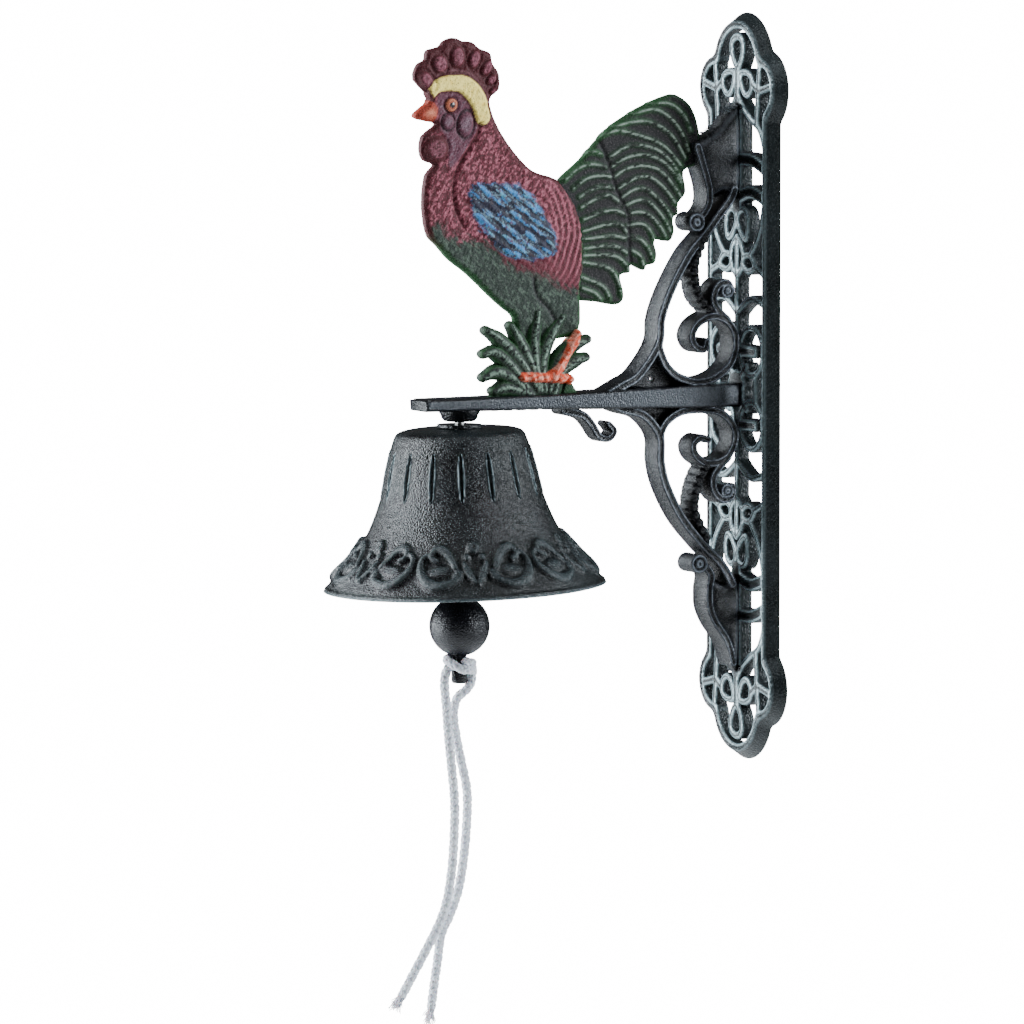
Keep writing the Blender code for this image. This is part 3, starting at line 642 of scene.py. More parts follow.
def braided(name, line, pitch):
    return BRAID.made_on(guide(name + "_guide", [line]), name, {
        "Yarns each way": YARNS, "Reach": YARN_REACH * MM, "Yarn radius": YARN_RADIUS * MM,
        "Pitch": pitch * MM, "Weave": YARN_WEAVE * MM, "Finish": COTTON})


def make_rope():
    """The hitch round the clapper's nub and the two loose strands, with frayed ends."""
    around = smooth_line(np.array(HITCH) + (0, BELL_Y, HITCH_Z), 10)
    hitch = braided("hitch", even_line(around, 90), HITCH_PITCH)
    dress(hitch, COTTON, "clapper", ["rope_hitch"])
    for side, route, seed in (("left", STRAND_LEFT, 3), ("right", STRAND_RIGHT, 11)):
        line = even_line(smooth_line(route, 12), 240)
        strand = braided(f"strand_{side}", line, STRAND_PITCH)
        dress(strand, COTTON, None, [f"rope_strand_{side}"])
        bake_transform(strand)
        way = (line[-1] - line[-6]) / np.linalg.norm(line[-1] - line[-6])
        end = [line[-1] - way * 1.5 + way * 6.0 * k / 8 for k in range(9)]
        fray = FRAY.made_on(guide("fray_guide", [end]), f"fray_{side}", {
            "Fibres": 70, "Spread": 1.15 * MM, "Splay": 0.9 * MM, "Fibre radius": 0.16 * MM,
            "Seed": seed, "Finish": COTTON})
        dress(fray, COTTON, "rope", [])
        length_of(line) * MM


make_rope()

# --------------------------------------------------------------------------- wall plate

PLATE_DRAFT, PLATE_HALF_WIDTH, PLATE_STRAIGHT_END = 3.0, 25.0, 125.0
LOBE_PLACE, LOBE_RADIUS = (19.0, 121.5), 12.7
DOME_PLACE, DOME_RADIUS = (0.0, 129.8), 19.5
RIM_WIDTH, BAR_HALF, BAR_SWELL, CENTRE_PAD = 3.6, 1.0, 0.55, 7.5
HOLE_PLACE, HOLE_SIZE = (8.2, -1.4), 2.0


def teardrop(centre, half_width, half_height, lean=0.0):
    """A closed loop that is fuller at its upper end, leaning this far from upright."""
    turn = np.linspace(0, 2 * np.pi, 37)
    x = half_width * np.sin(turn) * (1 + 0.35 * np.cos(turn))
    y = half_height * np.cos(turn)
    return np.stack([centre[0] + x * np.cos(lean) + y * np.sin(lean),
                     centre[1] - x * np.sin(lean) + y * np.cos(lean)], 1)


def circle(centre, radius):
    """A closed line, with its first place given again at its end."""
    turn = np.linspace(0, 2 * np.pi, 41)
    return np.stack([centre[0] + radius * np.cos(turn), centre[1] + radius * np.sin(turn)], 1)


# The lattice's bars, (half width, line) in one quarter of the plate. The rest mirrors it.
LATTICE = [
    (BAR_HALF, circle((12.2, 15.0), 9.6)),
    (2.0, [(4.0, 15.0), (15.0, 15.0)]),
    (1.4, [(4.0, 5.0), (8.0, 8.6)]),
    (BAR_HALF, [(15.5, 0), (15.5, 6)]),
    (BAR_HALF, [(0, 22), (0, 40)]),
    (BAR_HALF, smooth_line([(0, 30), (6, 34), (13, 36.5), (24, 34)], 6)),
    (BAR_HALF, smooth_line([(0, 45), (4, 48.5), (5.3, 53), (3.6, 58), (0, 61)], 6)),
    (BAR_HALF, [(0, 40), (0, 61)]),
    (BAR_HALF, smooth_line([(4.5, 50), (9, 47.6), (15, 49.5), (11, 54), (5.3, 53.5)], 6)),
    (BAR_HALF, [(15, 49.5), (24, 46)]),
    (BAR_HALF, smooth_line([(11, 54), (16.5, 60), (20.5, 67), (23, 76)], 6)),
    (BAR_HALF, teardrop((5.4, 66.5), 3.9, 6.2, -0.35)),
    (3.4, [(0, 74), (0, 114)]),
    (2.3, smooth_line([(3, 93), (14, 92.5), (24, 89)], 6)),
    (2.3, smooth_line([(3, 78), (12, 80), (24, 77)], 6)),
    (BAR_HALF, smooth_line([(0, 119.5), (5, 113.5), (12, 109), (19, 105), (23, 98)], 6)),
    (BAR_HALF, teardrop((0, 136.4), 4.7, 6.2)),
    (BAR_HALF, teardrop((7.2, 124.2), 4.2, 5.4, 2.2)),
    (1.4, [(0, 112), (0, 129)]),
    (1.3, [(12.5, 124.0), (17.6, 120.8)]),
    (1.3, [(17.6, 120.8), (30, 123.5)]),
    (1.3, [(17.6, 120.8), (16.5, 108)]),
    (1.3, [(17.6, 120.8), (19, 133)]),
]


def outline_field(p):
    """Distance outside the plate: a straight bar with two lobes and a dome at each end."""
    u, v = np.abs(p[:, 0]), np.abs(p[:, 1])
    body = np.maximum(u - PLATE_HALF_WIDTH, v - PLATE_STRAIGHT_END)
    lobe = np.hypot(u - LOBE_PLACE[0], v - LOBE_PLACE[1]) - LOBE_RADIUS
    dome = np.hypot(u - DOME_PLACE[0], v - DOME_PLACE[1]) - DOME_RADIUS
    return soft_min(body, soft_min(lobe, dome, 4.0), 3.0)


def plate_field(p):
    """Distance outside the plate's iron, with its openings."""
    outside = outline_field(p)
    iron = np.minimum(-RIM_WIDTH - outside, np.hypot(p[:, 0], p[:, 1]) - CENTRE_PAD)
    for sides in (1, -1):
        q = np.abs(p) * (sides, 1)
        for half, line in LATTICE:
            iron = soft_min(iron, to_line(q, line)[0] - half - BAR_SWELL, 0.5)
    hole = HOLE_SIZE - np.hypot(np.abs(p[:, 0]) - HOLE_PLACE[0], p[:, 1] - HOLE_PLACE[1])
    return np.maximum(np.maximum(outside, iron), hole)


def plate_front(p):
    deep, inward = -plate_field(p), -outline_field(p)
    edge = 1.0 - np.clip(deep / 1.0, 0, 1)
    groove = 0.7 * bump(inward - 1.9, 0.5) - 0.25 * bump(inward - 0.8, 0.5)
    return PLATE_DEPTH - 1.1 * edge ** 2 - groove * (inward < RIM_WIDTH + 1)


def plate_wear_and_highlight(p):
    deep, inward = -plate_field(p), -outline_field(p)
    # Pale lines on the bar crests and the rim: rubbed iron and painted highlight.
    crest = bump(deep - 0.75, 0.38)
    rim = 0.35 * bump(inward - 0.5, 0.3) + 0.95 * bump(inward - 2.9, 0.45)
    return np.clip(np.where(inward < RIM_WIDTH, rim, crest), 0, 1)


def plate_spread(p, on_edge):
    """The back's outline is larger than the front's."""
    moved = p.copy()
    near = np.array([k for k in on_edge if abs(outline_field(p[k:k + 1])[0]) < 0.25])
    q, e = p[near], 0.2
    slope = np.stack([outline_field(q + (e, 0)) - outline_field(q - (e, 0)),
                      outline_field(q + (0, e)) - outline_field(q - (0, e))], 1)
    slope /= np.maximum(np.linalg.norm(slope, axis=1, keepdims=True), 1e-9)
    moved[near] += slope * PLATE_DRAFT
    return moved


def make_plate():
    reach = (PLATE_HIGH[0] + 1, PLATE_HIGH[2] + 1)
    plate = relief("openwork_plate", plate_field, (-reach[0], -reach[1]), reach, 0.6,
                   plate_front, lambda p: np.zeros(len(p)), lay_plate, plate_spread,
                   wear_and_highlight=plate_wear_and_highlight)
    dress(plate, PLATE_IRON, "frame", ["wall_plate"])


make_plate()

# --------------------------------------------------------------------------- bracket

FACE = -PLATE_DEPTH - 0.05

# Routes in the bracket's plane, (y, z).
UPPER_BRACE = [(-70.8, -2.8), (-60.0, 2.6), (-52.6, 6.8), (-43.9, 18.6), (-42.6, 28.7),
               (-39.6, 37.4), (-34.8, 46.8), (-28.9, 55.9), (-22.4, 62.7), (-16.0, 70.6),
               (-11.0, 76.6), (-9.1, 80.6)]
LOWER_BRACE = [(-70.8, -2.4), (-60.0, -6.8), (-50.3, -9.8), (-43.2, -18.3), (-42.6, -29.2),
               (-39.8, -39.4), (-32.8, -52.2), (-23.6, -62.8), (-14.6, -71.7), (-9.6, -79.8)]
UPPER_RING = [(-43.9, 18.6), (-40.6, 10.8), (-35.8, 6.0), (-29.7, 3.6), (-24.3, 3.0),
              (-17.4, 4.8), (-11.6, 9.0), (-8.6, 15.2), (-8.8, 22.5), (-12.6, 27.9),
              (-17.2, 32.9), (-18.5, 37.5), (-16.2, 42.2), (-12.3, 42.9), (-10.2, 40.0)]
LOWER_RING = [(-43.0, -18.3), (-40.6, -13.4), (-35.4, -9.6), (-29.3, -8.2), (-18.7, -8.6),
              (-12.6, -11.6), (-8.9, -16.6), (-8.9, -22.4), (-12.0, -28.0), (-16.2, -32.5),
              (-18.7, -36.8), (-17.8, -42.0), (-14.3, -45.2), (-10.2, -44.0), (-9.9, -40.2)]
UPPER_SPIRAL = [(-12.6, 27.9), (-16.4, 29.4), (-21.0, 29.2), (-26.2, 26.2), (-28.4, 21.6),
                (-26.6, 17.4), (-22.9, 16.2), (-21.6, 19.4)]
LOWER_SPIRAL = [(-12.2, -28.2), (-16.6, -30.0), (-22.4, -29.8), (-26.7, -26.6), (-27.5, -22.4),
                (-24.4, -19.8), (-21.0, -20.6)]
UPPER_BEADS = [(-22.6, 61.0), (-24.6, 57.0), (-26.7, 51.0), (-26.6, 44.4), (-24.8, 37.4),
               (-20.4, 32.6)]
LOWER_BEADS = [(-21.4, -60.4), (-24.2, -55.2), (-26.7, -49.0), (-26.2, -42.6), (-24.4, -36.8),
               (-21.6, -31.6)]
UPPER_STRUT = [(-26.0, 98.4), (-23.2, 90.0), (-20.8, 81.4), (-21.2, 74.4), (-25.0, 69.4)]
LOWER_STRUT = [(-25.0, -70.6), (-21.6, -73.0), (-19.6, -76.4), (-20.4, -82.4), (-20.0, -89.2),
               (-17.2, -95.6), (-13.0, -101.4), (-10.6, -106.6), (-9.2, -112.2)]
UPPER_WEB = [(-20.4, 77.0), (-13.0, 79.4), (FACE, 79.0), (FACE, 113.2), (-8.4, 113.8),
             (-12.2, 111.0), (-16.8, 105.4), (-22.4, 102.2), (-26.0, 98.6), (-25.2, 93.0),
             (-22.6, 85.0)]
LOWER_WEB = [(-19.4, -78.0), (-12.6, -79.2), (FACE, -78.0), (FACE, -113.4), (-8.2, -114.2),
             (-10.6, -108.4), (-13.2, -101.8), (-17.6, -95.6), (-20.4, -89.0)]
ARM_SHAPE = [(-149.6, -5.1), (-150.0, -0.9), (-148.0, -0.4), (-120.0, -0.2), (-96.0, 0.0),
             (-60.0, 1.0), (-30.0, 1.8), (-13.0, 2.0), (FACE, 2.0), (FACE, -7.6), (-13.0, -7.6),
             (-30.0, -7.4), (-60.0, -6.7), (-96.0, -5.8), (-120.0, -5.6)]
SPANDREL = [(-56.0, 2.0), (-50.0, 9.0), (-44.6, 17.0), (-40.6, 9.0), (-34.0, 3.0), (-40.0, -2.0)]
LOW_SPANDREL = [(-56.0, -5.0), (-49.0, -10.4), (-43.2, -17.4), (-40.0, -12.4), (-34.0, -8.0),
                (-40.0, -4.0)]
SPANDREL_HOLE, HOLE_RADIUS = (-45.0, 4.6), 1.25
HOOK = [(-86.0, -6.6), (-77.6, -8.8), (-73.4, -12.8), (-69.8, -17.8), (-65.6, -18.6),
        (-63.2, -15.8), (-65.6, -12.8)]
UPPER_VOLUTE, LOWER_VOLUTE, VOLUTE_RADIUS = (-26.6, 67.9), (-25.1, -71.0), 3.9
UPPER_SCROLL_END, LOWER_SCROLL_END, SCROLL_END_RADIUS = (-12.2, 39.6), (-12.2, -41.8), 2.9


BEAD_PITCH, BEAD_SIZE, BEAD_STRAP_HALF = 3.2, 1.9, 4.6


def cast_members():
    """(kind, line, half thickness at each end, half width across) of each member of the casting."""
    straps = (((UPPER_BRACE, LOWER_BRACE), 1.9, 1.9, 6.0), ((UPPER_RING, LOWER_RING), 1.7, 1.6, 6.0),
              ((UPPER_SPIRAL, LOWER_SPIRAL), 1.8, 1.4, 6.0),
              ((UPPER_STRUT, LOWER_STRUT), 1.9, 1.5, 6.2))
    members = [("strap", smooth_line(route, 8), *halves) for routes, *halves in straps
               for route in routes]
    for route in (UPPER_BEADS, LOWER_BEADS):
        members.append(("beads", smooth_line(route, 8), 1.7, 1.7, BEAD_STRAP_HALF))
    members.append(("strap", smooth_line(HOOK, 8), 1.9, 1.2, 4.6))
    return members


MEMBERS = cast_members()
SHAPES = [("foot", smooth_line(UPPER_WEB, 4, closed=True), 5.4),
          ("foot", smooth_line(LOWER_WEB, 4, closed=True), 5.4),
          ("arm", np.array(ARM_SHAPE), 8.0), ("panel", np.array(SPANDREL), 2.2),
          ("panel", np.array(LOW_SPANDREL), 2.2),
          ("disc", circle(UPPER_VOLUTE, VOLUTE_RADIUS)[:-1], 6.6),
          ("disc", circle(LOWER_VOLUTE, VOLUTE_RADIUS)[:-1], 6.6),
          ("disc", circle(UPPER_SCROLL_END, SCROLL_END_RADIUS)[:-1], 6.3),
          ("disc", circle(LOWER_SCROLL_END, SCROLL_END_RADIUS)[:-1], 6.3)]


def bracket_parts(p):
    """For each place: the field, its half width across, and how rubbed it is, with painted highlight."""
    field = np.full(len(p), 50.0)
    wide, wear_and_highlight = np.full(len(p), 5.0), np.zeros(len(p))
    for kind, line, first, last, half_wide in MEMBERS:
        near, share = to_line(p, line)
        half = first + (last - first) * share
        if kind == "beads":
            half = half + 0.3 * np.cos(share * length_of(line) / BEAD_PITCH * 2 * np.pi)
        own = near - half
        taken = own < field
        field = soft_min(field, own, 1.0)
        q = near / half
        height = half_wide - 0.55 * bump(q, 0.30) - 0.7 * np.clip((q - 0.78) / 0.22, 0, 1) ** 2
        if kind == "beads":
            height = half_wide + 0 * q
        wide[taken] = height[taken]
        # Strap corners: rubbed iron and painted highlight.
        wear_and_highlight[taken] = (0.5 * bump(q - 0.62, 0.13) * (kind == "strap"))[taken]
    for kind, line, half_wide in SHAPES:
        own = shape_field(p, line)
        deep = -own
        taken = (own < 0) & ((half_wide > wide) | (field > 0))
        field = np.minimum(field, own)
        height = half_wide - 0.8 * (1 - np.clip(deep / 1.2, 0, 1)) ** 2
        # shine is painted highlight on crests and faces, partly standing for rubbed iron.
        shine = 0.35 * bump(deep - 0.8, 0.4)
        if kind == "foot":
            height = half_wide - 3.0 * (1 - np.clip(deep / 5.0, 0, 1)) ** 2
            shine = 0.10 * bump(deep - 2.0, 0.8)
        if kind == "arm":
            wall = ramp(-p[:, 0], 8, 20)
            height = 4.6 + (half_wide - 4.6) * wall - 0.9 * (
                1 - np.clip(deep / 1.4, 0, 1)) ** 2
            # A broad painted highlight across the arm's face.
            shine = 0.14 * ramp(deep, 0.4, 1.2)
        if kind == "panel":
            shine = np.zeros(len(p))
        if kind == "disc":
            centre = line.mean(0)
            away = np.hypot(*(p - centre).T)
            size = np.hypot(*(line[0] - centre))
            height = half_wide - 0.9 * bump(away - 0.6 * size, 0.5) - 0.6 * ramp(
                away, 0.8 * size, size)
            # Two rings of painted highlight on each disc's crests.
            shine = 0.7 * bump(away - 0.3 * size, 0.4) + 0.7 * bump(away - 0.82 * size, 0.35)
        wide[taken] = height[taken]
        wear_and_highlight[taken] = shine[taken]
    for z in (SPANDREL_HOLE[1], 2 * ARM_Z - SPANDREL_HOLE[1]):
        hole = HOLE_RADIUS - np.hypot(p[:, 0] - SPANDREL_HOLE[0], p[:, 1] - z)
        field = np.maximum(field, hole)
    field = np.maximum(field, p[:, 0] - FACE)
    return field, wide, wear_and_highlight


def boss_mesh():
    """The stepped boss under the arm, turned about the bolt."""
    profile = [(2.4, -5.0), (8.2, -5.0), (8.2, -6.2), (7.6, -7.0), (7.2, -8.4), (6.2, -9.5),
               (5.0, -9.75), (2.4, -9.75)]
    return turned("boss", profile, 64, closed=True)


def ring_faces(rows, around, closed):
    """Quads between rings of points. A closed set runs from the last ring back to the first."""
    k = np.arange(around)
    n = (k + 1) % around
    faces = []
    for r in range(rows if closed else rows - 1):
        s = (r + 1) % rows
        faces += np.stack([r * around + k, s * around + k, s * around + n, r * around + n],
                          1).tolist()
    return faces


def turned(name, profile, around, closed=False):
    """A solid turned about the bell's axis. An open profile has its first and last place on it."""
    profile = np.array(profile, float)
    turn = np.arange(around) * 2 * np.pi / around
    rows = profile if closed else profile[1:-1]
    points = np.stack([rows[:, :1] * np.cos(turn), BELL_Y + rows[:, :1] * np.sin(turn),
                       np.repeat(rows[:, 1:], around, 1)], -1).reshape(-1, 3)
    faces = ring_faces(len(rows), around, closed)
    if not closed:
        top, bottom = len(points), len(points) + 1
        points = np.concatenate([points, [(0, BELL_Y, profile[0, 1]), (0, BELL_Y, profile[-1, 1])]])
        k = np.arange(around)
        n, last = (k + 1) % around, (len(rows) - 1) * around
        faces += np.stack([np.full(around, top), k, n], 1).tolist()
        faces += np.stack([last + k, np.full(around, bottom), last + n], 1).tolist()
    return add_mesh(name, points, faces, floats={"wear_and_highlight": np.zeros(len(points))})


def join(name, pieces):
    """One object made of several, each already in place."""
    points, faces, wear_and_highlights, first = [], [], [], 0
    for piece in pieces:
        mesh = piece.data
        co = np.empty(len(mesh.vertices) * 3, np.float32)
        mesh.vertices.foreach_get("co", co)
        held = np.zeros(len(mesh.vertices), np.float32)
        if "wear_and_highlight" in mesh.attributes:
            mesh.attributes["wear_and_highlight"].data.foreach_get("value", held)
        points.append(co.reshape(-1, 3) / MM)
        wear_and_highlights.append(held)
        faces += [[first + k for k in face.vertices] for face in mesh.polygons]
        first += len(mesh.vertices)
        bpy.data.objects.remove(piece, do_unlink=True)
    return add_mesh(name, np.concatenate(points), faces, 50.0,
                    floats={"wear_and_highlight": np.concatenate(wear_and_highlights)})


def make_bracket():
    field, width, wear_and_highlight = (lambda p, n=n: bracket_parts(p)[n] for n in range(3))
    casting = relief("bracket_members", field, (-152.0, -126.0), (FACE + 0.4, 121.0), 0.42, width,
                     lambda p: -width(p), lay_side, wear_and_highlight=wear_and_highlight, smooth_angle=42.0)
    rows = []
    for route in (UPPER_BEADS, LOWER_BEADS):
        line = smooth_line(route, 8)
        for x in (BEAD_STRAP_HALF, -BEAD_STRAP_HALF):
            rows.append(np.concatenate([np.full((len(line), 1), x), line], 1))
    beads = BEADS.made_on(guide("bead_guide", rows), "beads", {
        "Pitch": BEAD_PITCH * MM, "Bead radius": BEAD_SIZE * MM, "Finish": BRACKET_IRON})
    shown = join("bracket_casting", [casting, boss_mesh(), beads])
    dress(shown, BRACKET_IRON, "frame", [
        "bracket_arm", "arm_boss", "arm_curl", "upper_brace", "lower_brace", "upper_ring",
        "lower_ring", "upper_spiral", "lower_spiral", "upper_bead_strap", "lower_bead_strap",
        "upper_foot", "lower_foot", "upper_volute", "lower_volute", "upper_spandrel",
        "lower_spandrel"])


make_bracket()

# --------------------------------------------------------------------------- rooster

BODY = [(-145.2, 120.0), (-151.8, 127.7), (-150.2, 133.6), (-147.0, 135.4), (-146.0, 139.2),
        (-140.6, 140.6), (-138.6, 142.8), (-134.2, 144.2), (-130.6, 142.8), (-126.4, 142.4),
        (-122.6, 139.6), (-118.2, 137.8), (-116.6, 133.0), (-114.3, 129.6), (-114.2, 123.2),
        (-118.4, 119.2), (-116.5, 111.8), (-112.3, 104.3), (-106.0, 96.4), (-98.8, 90.0),
        (-88.6, 86.6), (-82.2, 80.0), (-78.2, 72.4), (-76.0, 62.0), (-76.0, 50.0),
        (-77.6, 40.0), (-77.4, 31.2), (-79.0, 24.0), (-90.0, 22.0), (-104.4, 22.0),
        (-107.6, 31.5), (-111.8, 35.1), (-117.4, 39.7), (-128.4, 49.6), (-136.4, 55.4),
        (-141.8, 61.2), (-145.8, 65.3), (-147.6, 73.3), (-147.9, 80.9), (-146.5, 89.4),
        (-143.0, 93.4), (-147.2, 95.2), (-149.1, 99.0), (-148.0, 105.1), (-142.2, 109.6),
        (-146.6, 111.0), (-150.8, 112.1), (-151.6, 114.2)]
TAIL = [(-88.0, 85.0), (-77.0, 94.2), (-65.2, 106.0), (-50.4, 114.6), (-37.6, 119.4),
        (-32.9, 119.1), (-27.2, 114.9), (-24.0, 107.8), (-22.8, 99.6), (-24.2, 91.4),
        (-30.4, 88.6), (-29.3, 80.2), (-32.8, 75.6), (-33.0, 71.2), (-35.4, 69.6),
        (-34.6, 64.4), (-37.0, 60.2), (-43.8, 61.2), (-42.6, 55.6), (-43.6, 51.6),
        (-47.2, 50.8), (-48.6, 48.8), (-54.2, 51.2), (-54.8, 48.2), (-59.3, 47.0),
        (-57.8, 40.6), (-58.2, 36.8), (-61.9, 35.2), (-70.0, 36.6), (-79.0, 38.6),
        (-80.0, 50.0), (-80.0, 62.0), (-82.0, 72.0), (-86.0, 80.0)]
GRASS_LEAVES = [[(-119.8, 26.4), (-114.0, 22.6), (-105.0, 14.0), (-98.0, 3.0)],
                [(-121.0, 17.0), (-116.0, 17.4), (-108.0, 11.0), (-101.0, 1.0)],
                [(-121.0, 7.6), (-115.0, 9.6), (-107.0, 6.0), (-101.0, -1.0)],
                [(-116.6, 2.0), (-110.0, 3.0), (-100.0, 0.0)],
                [(-108.8, 28.0), (-104.0, 20.0), (-99.0, 10.0), (-97.0, 2.0)],
                [(-97.0, 34.0), (-98.6, 22.0), (-98.0, 12.0), (-96.0, 2.0)],
                [(-86.0, 31.0), (-92.0, 22.0), (-95.0, 12.0), (-94.0, 2.0)],
                [(-74.2, 21.6), (-81.0, 19.0), (-88.0, 13.0), (-92.0, 2.0)],
                [(-74.8, 14.4), (-81.0, 12.6), (-87.0, 8.0), (-90.0, 0.0)]]
LEAF_HALF = 3.3
GRASS_MOUND = [(-119.0, -1.0), (-113.0, 5.0), (-104.0, 9.0), (-90.0, 9.0), (-82.0, 5.0),
               (-78.0, -1.0)]
LEGS = [[(-79.2, 24.0), (-83.6, 17.0), (-88.0, 10.4), (-92.4, 7.2)],
        [(-104.2, 7.4), (-97.0, 7.0), (-90.0, 6.6), (-82.6, 5.8)]]
LEG_HALF = 2.0

# The yellow band round the face, (place, half width).
CRESCENT = [((-146.0, 120.1), 1.5), ((-143.7, 123.9), 2.2), ((-140.6, 125.7), 2.8),
            ((-136.4, 126.2), 3.0), ((-132.1, 125.9), 3.2), ((-128.9, 124.4), 3.6),
            ((-125.9, 121.5), 3.8), ((-123.8, 118.1), 3.7), ((-122.7, 114.6), 3.4),
            ((-122.1, 112.4), 3.2)]
CRESCENT_LINE = smooth_line([place for place, half in CRESCENT], 6)
COMB_ARC = smooth_line([(-144.0, 127.1), (-141.1, 130.1), (-137.0, 131.1), (-132.3, 131.1),
                        (-127.0, 129.4), (-123.5, 126.2), (-120.6, 121.9), (-119.4, 119.3)], 6)
COMB_CENTRE, COMB_REACH = (-134.5, 112.5), 16.5
COMB_PADS = [((-147.2, 127.5), 2.4, 3.6), ((-141.1, 133.9), 2.9, 3.2), ((-133.3, 136.6), 2.7, 3.8),
             ((-125.7, 135.5), 2.1, 3.4), ((-120.0, 132.0), 1.8, 3.2), ((-118.1, 127.2), 1.5, 2.2),
             ((-117.2, 122.4), 1.2, 1.6)]
EYE = (-136.1, 117.4)
CHEEKS = [((-137.6, 110.6), 2.6, 3.1, 0.0), ((-129.7, 109.6), 3.4, 5.0, 0.12)]
WATTLE, WATTLE_RADIUS = (-142.6, 99.9), 4.7
BEAK = [(-152.6, 113.8), (-151.0, 116.2), (-148.6, 118.4), (-146.2, 119.3), (-143.8, 118.4),
        (-142.1, 116.0), (-142.7, 112.9), (-144.4, 110.7), (-149.1, 110.6), (-152.6, 111.6)]
FACE_PATCH = smooth_line([(-142.2, 121.3), (-138.1, 123.0), (-132.3, 122.6), (-128.2, 118.9),
                          (-126.2, 113.7), (-124.1, 109.4), (-127.0, 103.2), (-130.0, 99.1),
                          (-134.1, 93.9), (-137.0, 93.0), (-137.6, 102.4), (-140.5, 107.2),
                          (-142.2, 108.8), (-141.1, 112.9), (-142.2, 117.1)], 5, closed=True)
NECK_GROOVE = smooth_line([(-123.2, 109.9), (-124.4, 104.7), (-127.6, 100.6), (-131.1, 95.4),
                           (-133.5, 91.3), (-134.9, 86.1), (-135.0, 79.8), (-133.5, 74.0),
                           (-130.6, 68.6)], 6)
WING = smooth_line([(-128.0, 82.0), (-124.6, 85.0), (-116.0, 85.4), (-106.5, 84.0), (-99.6, 80.0),
                    (-94.9, 72.6), (-88.7, 62.0), (-92.5, 55.6), (-103.7, 55.4), (-113.6, 58.2),
                    (-122.6, 67.2), (-126.6, 74.4)], 6, closed=True)
BELLY = [(-152.0, 71.0), (-142.5, 69.5), (-133.0, 63.3), (-120.3, 62.4), (-114.3, 56.3),
         (-106.2, 50.5), (-92.0, 48.5), (-84.6, 42.5), (-76.0, 41.0), (-74.0, 20.0),
         (-110.0, 18.0), (-152.0, 50.0)]
THIGH_LINE = smooth_line([(-99.0, 47.0), (-97.6, 40.0), (-92.0, 34.0), (-88.0, 27.0)], 6)

SPLIT = smooth_line([(-70.3, 103.0), (-65.2, 93.2), (-62.0, 83.0), (-58.8, 76.7), (-56.2, 70.9),
                     (-55.6, 59.6), (-54.9, 49.5)], 6)
TAIL_RIDGES = [
    [(-84.9, 86.3), (-79.2, 90.7), (-72.8, 92.3), (-66.5, 91.0)],
    [(-81.1, 82.8), (-74.7, 86.7), (-68.4, 87.6), (-63.8, 87.0)],
    [(-78.3, 79.2), (-71.5, 82.6), (-66.4, 83.1), (-62.6, 82.4)],
    [(-77.6, 75.0), (-70.3, 78.6), (-65.2, 79.6), (-60.8, 77.3)],
    [(-76.7, 70.0), (-68.3, 72.9), (-62.0, 73.3), (-58.5, 72.1)],
    [(-76.8, 65.4), (-65.8, 67.8), (-60.0, 67.6), (-57.0, 64.7)],
    [(-76.9, 62.0), (-63.9, 63.2), (-57.5, 62.0)],
    [(-76.3, 58.4), (-63.2, 59.2), (-57.0, 56.2)],
    [(-76.6, 55.6), (-63.2, 55.2), (-57.5, 51.7), (-56.0, 48.8)],
    [(-76.9, 52.8), (-65.1, 50.2), (-60.6, 44.4), (-59.6, 39.1)],
    [(-77.4, 46.9), (-67.7, 42.9), (-64.5, 37.7)],
    [(-77.0, 42.4), (-71.5, 40.4), (-68.5, 37.4)],
    [(-84.0, 90.6), (-77.0, 95.8), (-72.4, 97.4), (-68.0, 96.0)],
    [(-70.3, 103.0), (-62.0, 105.6), (-54.3, 104.2), (-46.0, 101.8), (-38.9, 98.2), (-31.9, 90.7)],
    [(-62.7, 107.4), (-51.8, 109.2), (-44.1, 108.0), (-36.4, 103.3), (-30.2, 94.1)],
    [(-54.0, 112.4), (-43.8, 113.8), (-36.0, 109.4), (-31.5, 103.7), (-28.6, 97.0)],
    [(-46.0, 116.2), (-37.4, 116.0), (-31.0, 111.6), (-27.6, 105.0)],
    [(-65.2, 94.4), (-58.2, 98.6), (-51.8, 99.6), (-42.8, 97.4), (-36.4, 92.2), (-31.4, 84.6)],
    [(-64.0, 91.0), (-57.6, 94.4), (-50.0, 95.6), (-41.6, 93.4), (-34.6, 87.2), (-31.6, 82.6)],
    [(-62.6, 87.0), (-56.9, 90.2), (-49.2, 91.2), (-41.5, 88.9), (-35.0, 82.2), (-32.4, 78.6)],
    [(-60.4, 82.5), (-53.0, 86.3), (-46.6, 86.6), (-39.9, 82.1), (-34.6, 75.6)],
    [(-59.2, 78.5), (-53.7, 81.6), (-47.9, 81.6), (-41.5, 76.6), (-35.8, 69.6)],
    [(-57.9, 75.0), (-52.4, 77.2), (-47.0, 76.6), (-41.2, 71.2), (-37.0, 64.6)],
    [(-56.9, 71.6), (-51.7, 72.6), (-46.4, 71.0), (-41.4, 66.1), (-38.9, 61.8)],
    [(-56.4, 67.2), (-50.2, 67.7), (-46.2, 64.9), (-44.2, 60.6)],
    [(-55.9, 62.6), (-50.8, 61.5), (-46.9, 57.5), (-45.0, 53.0)],
    [(-55.1, 57.3), (-51.0, 54.9), (-49.1, 50.7)]]
RIDGE_LINES = [smooth_line(route, 5) for route in TAIL_RIDGES]

